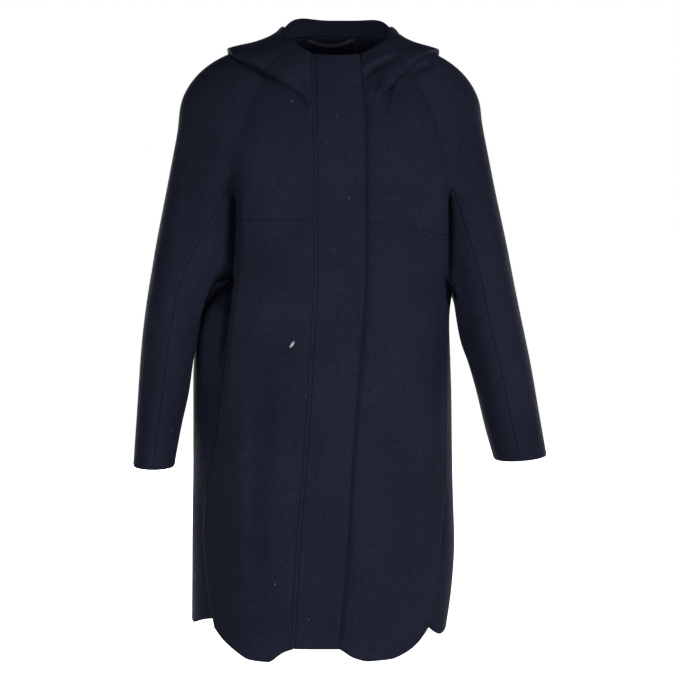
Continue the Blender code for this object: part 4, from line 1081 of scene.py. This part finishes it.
def piece_grid(points, normals, quads, kinds):
    """One piece as an open mesh, with its distances from seams and free edges on the points."""
    used, numbers = np.unique(quads, return_inverse=True)
    places, facing = points[used], normals[used]
    bm = bmesh.new()
    layers = {kind: bm.verts.layers.float.new(kind) for kind in ("seam", "stitched", "free")}
    away = [bm.verts.layers.float.new("normal_" + axis) for axis in "xyz"]
    crease = bm.verts.layers.float.new("crease")
    distances = {kind: distances_to(places, edges) for kind, edges in kinds.items()}
    verts = []
    for number, place in enumerate(places):
        vert = bm.verts.new(place)
        for kind, layer in layers.items():
            vert[layer] = distances[kind][number]
        for axis in range(3):
            vert[away[axis]] = facing[number][axis]
        verts.append(vert)
    for vert, reach in zip(verts, crease_reach(places, facing)):
        vert[crease] = reach
    for quad in numbers.reshape(-1, 4):
        bm.faces.new([verts[i] for i in quad])
    for kind, values in CUTS.items():
        for value in values:
            cut_at(bm, layers.get(kind, crease), value)
    bm.verts.index_update()
    return bm, layers, away


def relief(seam, stitched, free):
    """Height of the cloth over its plain form, by distance from its seams and edges."""
    height = -SEAM_SINK * np.exp(-(seam / SEAM_WIDTH) ** 2)
    height -= STITCH_SINK * np.exp(-((stitched - STITCH_LINE) / STITCH_WIDTH) ** 2)
    height += FELL_RISE * eased((FELL_END - stitched) / FELL_EASE) * eased(stitched / FELL_EASE)
    height -= EDGE_SINK * np.exp(-(free / EDGE_WIDTH) ** 2)
    height += EDGE_RISE * np.exp(-((free - EDGE_RISE_AT) / EDGE_RISE_WIDTH) ** 2)
    return height


def cloth_wall(name, points, normals, quads, kinds):
    """A piece of cloth as a closed wall with rounded edges; returns the object."""
    bm, layers, away = piece_grid(points, normals, quads, kinds)
    count = len(bm.verts)
    places = np.array([v.co for v in bm.verts])
    facing = np.array([[v[layer] for layer in away] for v in bm.verts])
    reach = {kind: np.array([v[layer] for v in bm.verts]) for kind, layer in layers.items()}
    places, facing = creased(places, unit(facing))
    faces = [[v.index for v in face.verts] for face in bm.faces]
    rim = []
    inward = np.zeros((count, 3))
    for edge in bm.edges:
        if len(edge.link_faces) == 1:
            loop = edge.link_loops[0]
            a, b = loop.vert.index, loop.link_loop_next.vert.index
            middle = places[[v.index for v in loop.face.verts]].mean(axis=0)
            along = unit(places[b] - places[a])
            across = middle - places[a]
            across = unit(across - along * across.dot(along))
            inward[[a, b]] += across
            rim.append((a, b))
    bm.free()
    rim_points = sorted({number for pair in rim for number in pair})
    outer = places + facing * relief(**reach)[:, None]
    inner = places - facing * WALL
    bulge = -unit(inward) * (EDGE_BULGE * (reach["free"] < AT_EDGE))[:, None]
    rounded = [(places - facing * WALL * share + bulge)[rim_points] for share in EDGE_RINGS]
    more = len(rim_points)
    slot = {number: 2 * count + i for i, number in enumerate(rim_points)}
    faces += [[number + count for number in face[::-1]] for face in faces]
    for a, b in rim:
        rings = [(a, b), (slot[a], slot[b]), (slot[a] + more, slot[b] + more), (a + count, b + count)]
        for (p, q), (r, s) in zip(rings, rings[1:]):
            faces.append([q, p, r, s])
    nearest = np.min(list(reach.values()), axis=0)
    flush = [pair for pair in rim if nearest[list(pair)].min() > AT_EDGE]
    return add_mesh(name, np.vstack([outer, inner, *rounded]), faces, flush)


def add_mesh(name, points, faces, sharp=()):
    """A smooth-shaded mesh object; the sharp edges are pairs of point numbers."""
    mesh = bpy.data.meshes.new(name)
    mesh.from_pydata([tuple(p) for p in points], [], faces)
    mesh.validate()
    mesh.shade_smooth()
    if sharp:
        wanted = {tuple(sorted(pair)) for pair in sharp}
        for edge in mesh.edges:
            if tuple(sorted(edge.vertices)) in wanted:
                edge.use_edge_sharp = True
    made = bpy.data.objects.new(name, mesh)
    bpy.context.scene.collection.objects.link(made)
    return made


def edge_kinds(points, quads, tags, number, names, kind_of):
    """Sort a piece's border edges into seams, stitched seams and free edges."""
    owners = {}
    for quad, tag in zip(quads.tolist(), tags.tolist()):
        for a, b in zip(quad, quad[1:] + quad[:1]):
            owners.setdefault((min(a, b), max(a, b)), []).append(tag)
    kinds = {"seam": [], "stitched": [], "free": []}
    for (a, b), tagged in owners.items():
        if number not in tagged or (len(tagged) == 2 and tagged[0] == tagged[1]):
            continue
        other = [names[tag] for tag in tagged if tag != number]
        for kind in kind_of(names[number], other[0] if other else None, (points[a] + points[b]) / 2):
            kinds[kind].append((points[a], points[b]))
    return kinds


def shell_kind(piece, other, middle):
    """What an edge of the fronts, back or sleeves is."""
    if other:
        stitched = piece.startswith("front") and other.startswith("yoke")
        return ("seam", "stitched") if stitched else ("seam",)
    x, _, z = middle
    sewn = abs(x - BAND(z, "sewn_x")) < NEAR_SEAM and z < BAND_TOP_Z
    if piece in ("front_right", "yoke_sleeve_right") and sewn:
        return ("seam", "stitched")
    under_hood = z > HOOD_LOW_Z and abs(x) > HOOD_GAP_X or piece == "back" and z > 0.0
    return () if under_hood else ("free",)


def hood_kind(piece, other, middle):
    """What an edge of the hood is."""
    if other:
        return ("seam",)
    if hood_seam_tree().find(middle)[2] < NEAR_SEAM:
        return ()
    x, y, _ = middle
    at_band = piece == "hood_right" and x > HOOD_BAND_X and y < HOOD_BAND_Y
    return ("seam", "stitched") if at_band else ("free",)


def band_kind(piece, other, middle):
    """What an edge of the band is."""
    x, _, z = middle
    sewn = abs(x - BAND(z, "sewn_x")) < BAND_SEAM_REACH and BAND_END_Z < z < 0.0
    return ("seam",) if sewn else ("free",)


@functools.lru_cache(maxsize=None)
def hood_seam_tree():
    """Search tree of points along the hood's neck seam."""
    return tree_of([surface_point(angle, HOOD(angle, "seam"))
                    for angle in np.arange(HOOD_START, HOOD_END, SEAM_TREE_STEP)])


# ---- materials ----
class Nodes:
    """Short names for making a material's nodes."""

    def __init__(self, name):
        self.material = bpy.data.materials.new(name)
        self.material.use_nodes = True
        self.tree = self.material.node_tree
        self.shader = self.tree.nodes["Principled BSDF"]
        self.place = self.add("ShaderNodeTexCoord").outputs["Object"]

    def add(self, kind, **values):
        """A new node with some settings."""
        node = self.tree.nodes.new(kind)
        for name, value in values.items():
            setattr(node, name, value)
        return node

    @staticmethod
    def fill(node, names, values):
        """Give some of a node's inputs their values."""
        for name, value in zip(names, values):
            node.inputs[name].default_value = value

    def link(self, output, node, name):
        self.tree.links.new(output, node.inputs[name])

    def noise(self, scale, detail, roughness, stretch=(1.0, 1.0, 1.0), distortion=0.0):
        mapping = self.add("ShaderNodeMapping")
        mapping.inputs["Scale"].default_value = stretch
        self.link(self.place, mapping, "Vector")
        noise = self.add("ShaderNodeTexNoise")
        self.link(mapping.outputs["Vector"], noise, "Vector")
        self.fill(noise, ("Scale", "Detail", "Roughness", "Distortion"),
                  (scale, detail, roughness, distortion))
        return noise.outputs["Fac"]

    def ramp(self, source, low, high, first, last):
        ramp = self.add("ShaderNodeValToRGB")
        for stop, position, colour in zip(ramp.color_ramp.elements, (low, high), (first, last)):
            stop.position = position
            stop.color = (*colour, 1.0)
        self.link(source, ramp, "Fac")
        return ramp.outputs["Color"]

    def mix(self, blend, factor, first, second):
        mix = self.add("ShaderNodeMix", data_type="RGBA", blend_type=blend)
        mix.inputs[0].default_value = factor
        self.tree.links.new(first, mix.inputs[6])
        self.tree.links.new(second, mix.inputs[7])
        return mix.outputs[2]

    def bump(self, height, strength, distance, under=None):
        bump = self.add("ShaderNodeBump")
        self.fill(bump, ("Strength", "Distance"), (strength, distance))
        self.link(height, bump, "Height")
        if under is not None:
            self.link(under, bump, "Normal")
        return bump.outputs["Normal"]


def wool_material():
    """Brushed double-faced wool: felted nap, blotches where it has been pressed, and a soft sheen."""
    nodes = Nodes("coat_wool")
    wide = nodes.ramp(nodes.noise(9.0, 3.0, 0.5), 0.35, 0.65, WOOL_DEEP, WOOL_LIGHT)
    felt = nodes.ramp(nodes.noise(170.0, 4.0, 0.6, distortion=0.6), 0.3, 0.7,
                      (0.80, 0.80, 0.82), (1.18, 1.18, 1.16))
    fibre = nodes.ramp(nodes.noise(1500.0, 3.0, 0.7, stretch=(1.0, 1.0, 0.45), distortion=1.2), 0.3, 0.75,
                       (0.72, 0.72, 0.75), (1.35, 1.35, 1.3))
    colour = nodes.mix("MULTIPLY", 1.0, nodes.mix("MULTIPLY", 1.0, wide, felt), fibre)
    nodes.link(colour, nodes.shader, "Base Color")
    rough = nodes.ramp(nodes.noise(60.0, 3.0, 0.6), 0.3, 0.7, (0.88, 0.88, 0.88), (1.0, 1.0, 1.0))
    nodes.link(rough, nodes.shader, "Roughness")
    nap = nodes.bump(nodes.noise(240.0, 5.0, 0.65, distortion=0.8), 0.5, 0.0006)
    hairs = nodes.bump(nodes.noise(1600.0, 2.0, 0.6, stretch=(1.0, 1.0, 0.5), distortion=1.5),
                       0.45, 0.00035, nap)
    nodes.link(hairs, nodes.shader, "Normal")
    nodes.shader.inputs["Specular IOR Level"].default_value = 0.06
    nodes.shader.inputs["Sheen Weight"].default_value = 0.02
    nodes.shader.inputs["Sheen Roughness"].default_value = 0.45
    nodes.shader.inputs["Sheen Tint"].default_value = (0.42, 0.50, 0.80, 1.0)
    return nodes.material


def tape_material():
    """Woven tape: fine ribs across the strip."""
    nodes = Nodes("loop_tape")
    wave = nodes.add("ShaderNodeTexWave", bands_direction="X", wave_profile="SIN")
    nodes.link(nodes.place, wave, "Vector")
    nodes.fill(wave, ("Scale", "Distortion"), (420.0, 0.6))
    ribs = nodes.ramp(wave.outputs["Fac"], 0.2, 0.8, TAPE_DEEP, TAPE_LIGHT)
    worn = nodes.ramp(nodes.noise(300.0, 3.0, 0.6), 0.3, 0.7, (0.85, 0.85, 0.85), (1.15, 1.15, 1.15))
    nodes.link(nodes.mix("MULTIPLY", 1.0, ribs, worn), nodes.shader, "Base Color")
    nodes.link(nodes.bump(wave.outputs["Fac"], 0.6, 0.0003), nodes.shader, "Normal")
    nodes.shader.inputs["Roughness"].default_value = 0.62
    nodes.shader.inputs["Sheen Weight"].default_value = 0.2
    return nodes.material


def lint_material():
    """Pale loose fibre."""
    nodes = Nodes("pale_fibre")
    pale = nodes.ramp(nodes.noise(900.0, 3.0, 0.6), 0.3, 0.7, (0.22, 0.21, 0.19), (0.50, 0.48, 0.45))
    nodes.link(pale, nodes.shader, "Base Color")
    nodes.link(nodes.bump(nodes.noise(1500.0, 2.0, 0.6), 0.5, 0.0003), nodes.shader, "Normal")
    nodes.shader.inputs["Roughness"].default_value = 0.9
    return nodes.material


def floor_material():
    """Pale floor that glows a little, so that it shows no dark horizon."""
    nodes = Nodes("pale_floor")
    tone = nodes.ramp(nodes.noise(1.2, 2.0, 0.5), 0.3, 0.7, (0.86, 0.86, 0.86), (0.90, 0.90, 0.90))
    nodes.link(tone, nodes.shader, "Base Color")
    nodes.shader.inputs["Roughness"].default_value = 0.9
    nodes.shader.inputs["Emission Color"].default_value = (1.0, 1.0, 1.0, 1.0)
    nodes.shader.inputs["Emission Strength"].default_value = FLOOR_GLOW
    return nodes.material


# ---- small pieces ----
def tube_faces(steps, around, start=0):
    """Faces of a closed tube: steps + 1 rings of points, numbered on from start."""
    faces = []
    for i in range(steps):
        for k in range(around):
            a, b = start + i * around + k, start + i * around + (k + 1) % around
            faces.append([a, b, b + around, a + around])
    faces.append([start + k for k in range(around)][::-1])
    faces.append([start + steps * around + k for k in range(around)])
    return faces


def loop_strip():
    """The hanging loop as a soft flat strip with rounded edges."""
    points = []
    for share in np.linspace(0.0, 1.0, LOOP_STEPS + 1):
        x = LOOP_ENDS_X[0] + (LOOP_ENDS_X[1] - LOOP_ENDS_X[0]) * share
        angle = 180.0 - math.degrees(math.asin(x / NECK_HALF_WIDTH))
        normal = surface_normal(angle, LOOP_START + LOOP_WIDTH / 2)
        away = np.array([0.0, -LOOP_OUT, -LOOP_SAG]) * math.sin(math.pi * share) - normal * (WALL + LOOP_GAP)
        low = surface_point(angle, LOOP_START + LOOP_WIDTH) + away
        high = surface_point(angle, LOOP_START) + away
        middle = (low + high) / 2 - normal * LOOP_THICKNESS / 2
        for k in range(LOOP_AROUND):
            deep, across = sine_cosine(360.0 * k / LOOP_AROUND)
            across = math.copysign(abs(across) ** 0.5, across)
            points.append(middle + (high - low) / 2 * across - normal * LOOP_THICKNESS / 2 * deep)
    return add_mesh("hanging_loop", points, tube_faces(LOOP_STEPS, LOOP_AROUND))


def laid_on(tree, x, z, turn):
    """Place, normal, heading and sideways way of a small piece on the front, turned by some degrees."""
    place, normal, _, _ = tree.ray_cast(Vector((x, IN_FRONT_Y, z)), Vector((0.0, 1.0, 0.0)))
    along = normal.cross(Vector((0.0, 0.0, 1.0))).normalized()
    sine, cosine = sine_cosine(turn)
    heading = along * cosine + normal.cross(along) * sine
    return place, normal, heading, normal.cross(heading)


def lint_pieces(tree):
    """Loose pale fibres lying on the front, as one small object."""
    points, faces = [], []
    for x, z, turn, length, radius in LINT:
        place, normal, heading, side = laid_on(tree, x, z, turn)
        faces += tube_faces(LINT_STEPS, LINT_AROUND, len(points))
        for i in range(LINT_STEPS + 1):
            t = i / LINT_STEPS - 0.5
            bend = LINT_BEND * length * (0.25 - t * t)
            centre = place + heading * (t * length) + side * bend + normal * radius
            slim = radius * math.sqrt(max(1.0 - (2 * t) ** 2, LINT_TIP ** 2))
            for k in range(LINT_AROUND):
                sine, cosine = sine_cosine(360.0 * k / LINT_AROUND)
                points.append(centre + (side * cosine + normal * sine) * slim)
    return add_mesh("lint", points, faces)


def flake(tree):
    """The lens-shaped pale flake below the chest."""
    place, normal, heading, side = laid_on(tree, *FLAKE_PLACE, FLAKE_TURN)
    points = []
    for i in range(FLAKE_STEPS + 1):
        t = i / FLAKE_STEPS * 2.0 - 1.0
        slim = math.sqrt(max(1.0 - abs(t) ** FLAKE_POWER, FLAKE_TIP))
        lift = FLAKE_LIFT + FLAKE_CURL * t * t
        centre = place + heading * (t * FLAKE_LENGTH / 2) + normal * lift
        for k in range(FLAKE_AROUND):
            sine, cosine = sine_cosine(360.0 * k / FLAKE_AROUND)
            points.append(centre + side * (cosine * FLAKE_WIDTH / 2 * slim)
                          + normal * (sine * FLAKE_HALF_THICKNESS * slim))
    return add_mesh("pale_flake", points, tube_faces(FLAKE_STEPS, FLAKE_AROUND))


# ---- the coat ----
def coat_pieces():
    """Every cut piece of the coat, by name."""
    made = {}
    for net, kind_of in ((shell_net(), shell_kind), (band_net(), band_kind), (hood_net(), hood_kind)):
        points, quads, tags, names = subdivided(net, FINE_LEVELS)
        normals = normals_of(points, quads)
        for number, name in enumerate(names):
            kinds = edge_kinds(points, quads, tags, number, names, kind_of)
            made[name] = cloth_wall("cloth_" + name, points, normals, quads[tags == number], kinds)
    return made


def add_light(name, place, aim, size, power):
    """A rectangular light at a place, turned to what it lights."""
    lamp = bpy.data.lights.new(name, "AREA")
    lamp.shape = "RECTANGLE"
    lamp.size, lamp.size_y = size
    lamp.energy = power
    light = bpy.data.objects.new(name, lamp)
    light.location = place
    light.rotation_euler = (Vector(aim) - Vector(place)).to_track_quat("-Z", "Y").to_euler()
    bpy.context.scene.collection.objects.link(light)


def studio():
    """Pale floor, soft lights and the camera."""
    corners = [(FLOOR_HALF * x, FLOOR_HALF * y, FLOOR_Z) for x, y in ((-1, -1), (1, -1), (1, 1), (-1, 1))]
    floor = add_mesh("floor", corners, [[0, 1, 2, 3]])
    floor.data.materials.append(floor_material())
    floor.visible_diffuse = False
    world = bpy.data.worlds.new("studio")
    bpy.context.scene.world = world
    bpy.context.scene.view_settings.view_transform = "Standard"
    world.use_nodes = True
    tree = world.node_tree
    back = tree.nodes["Background"]
    back.inputs["Color"].default_value = (1.0, 1.0, 1.0, 1.0)
    seen = tree.nodes.new("ShaderNodeLightPath").outputs["Is Camera Ray"]
    strength = tree.nodes.new("ShaderNodeMapRange")
    strength.inputs["To Min"].default_value = WORLD_STRENGTH
    strength.inputs["To Max"].default_value = WORLD_SEEN
    tree.links.new(seen, strength.inputs["Value"])
    tree.links.new(strength.outputs["Result"], back.inputs["Strength"])
    for light in LIGHTS:
        add_light(*light)
    camera = bpy.data.objects.new("camera", bpy.data.cameras.new("camera"))
    camera.data.sensor_width = SENSOR_WIDTH
    camera.data.lens = LENS
    camera.location = CAMERA_PLACE
    camera.rotation_euler = (math.radians(90.0 - CAMERA_DOWN), 0.0, 0.0)
    bpy.context.scene.collection.objects.link(camera)
    bpy.context.scene.camera = camera


def front_tree(pieces):
    """Search tree of some pieces' surfaces."""
    points, faces = [], []
    for piece in pieces:
        start = len(points)
        points += [v.co.copy() for v in piece.data.vertices]
        faces += [[start + i for i in face.vertices] for face in piece.data.polygons]
    return BVHTree.FromPolygons(points, faces)


def main():
    """Build every piece, give it its material and attach it to the root, then the studio."""
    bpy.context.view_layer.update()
    wool, tape = wool_material(), tape_material()
    pieces = coat_pieces()
    for name, piece in pieces.items():
        piece.data.materials.append(wool)
        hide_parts(name)
        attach(piece, "root")
        width, length, area, held = CUTS_FLAT[name]
    loop = loop_strip()
    loop.data.materials.append(tape)
    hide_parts("hanger_loop")
    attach(loop, "root")
    tree = front_tree(pieces.values())
    pale = lint_material()
    for small in (lint_pieces(tree), flake(tree)):
        small.data.materials.append(pale)
        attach(small, "root")
    studio()


main()
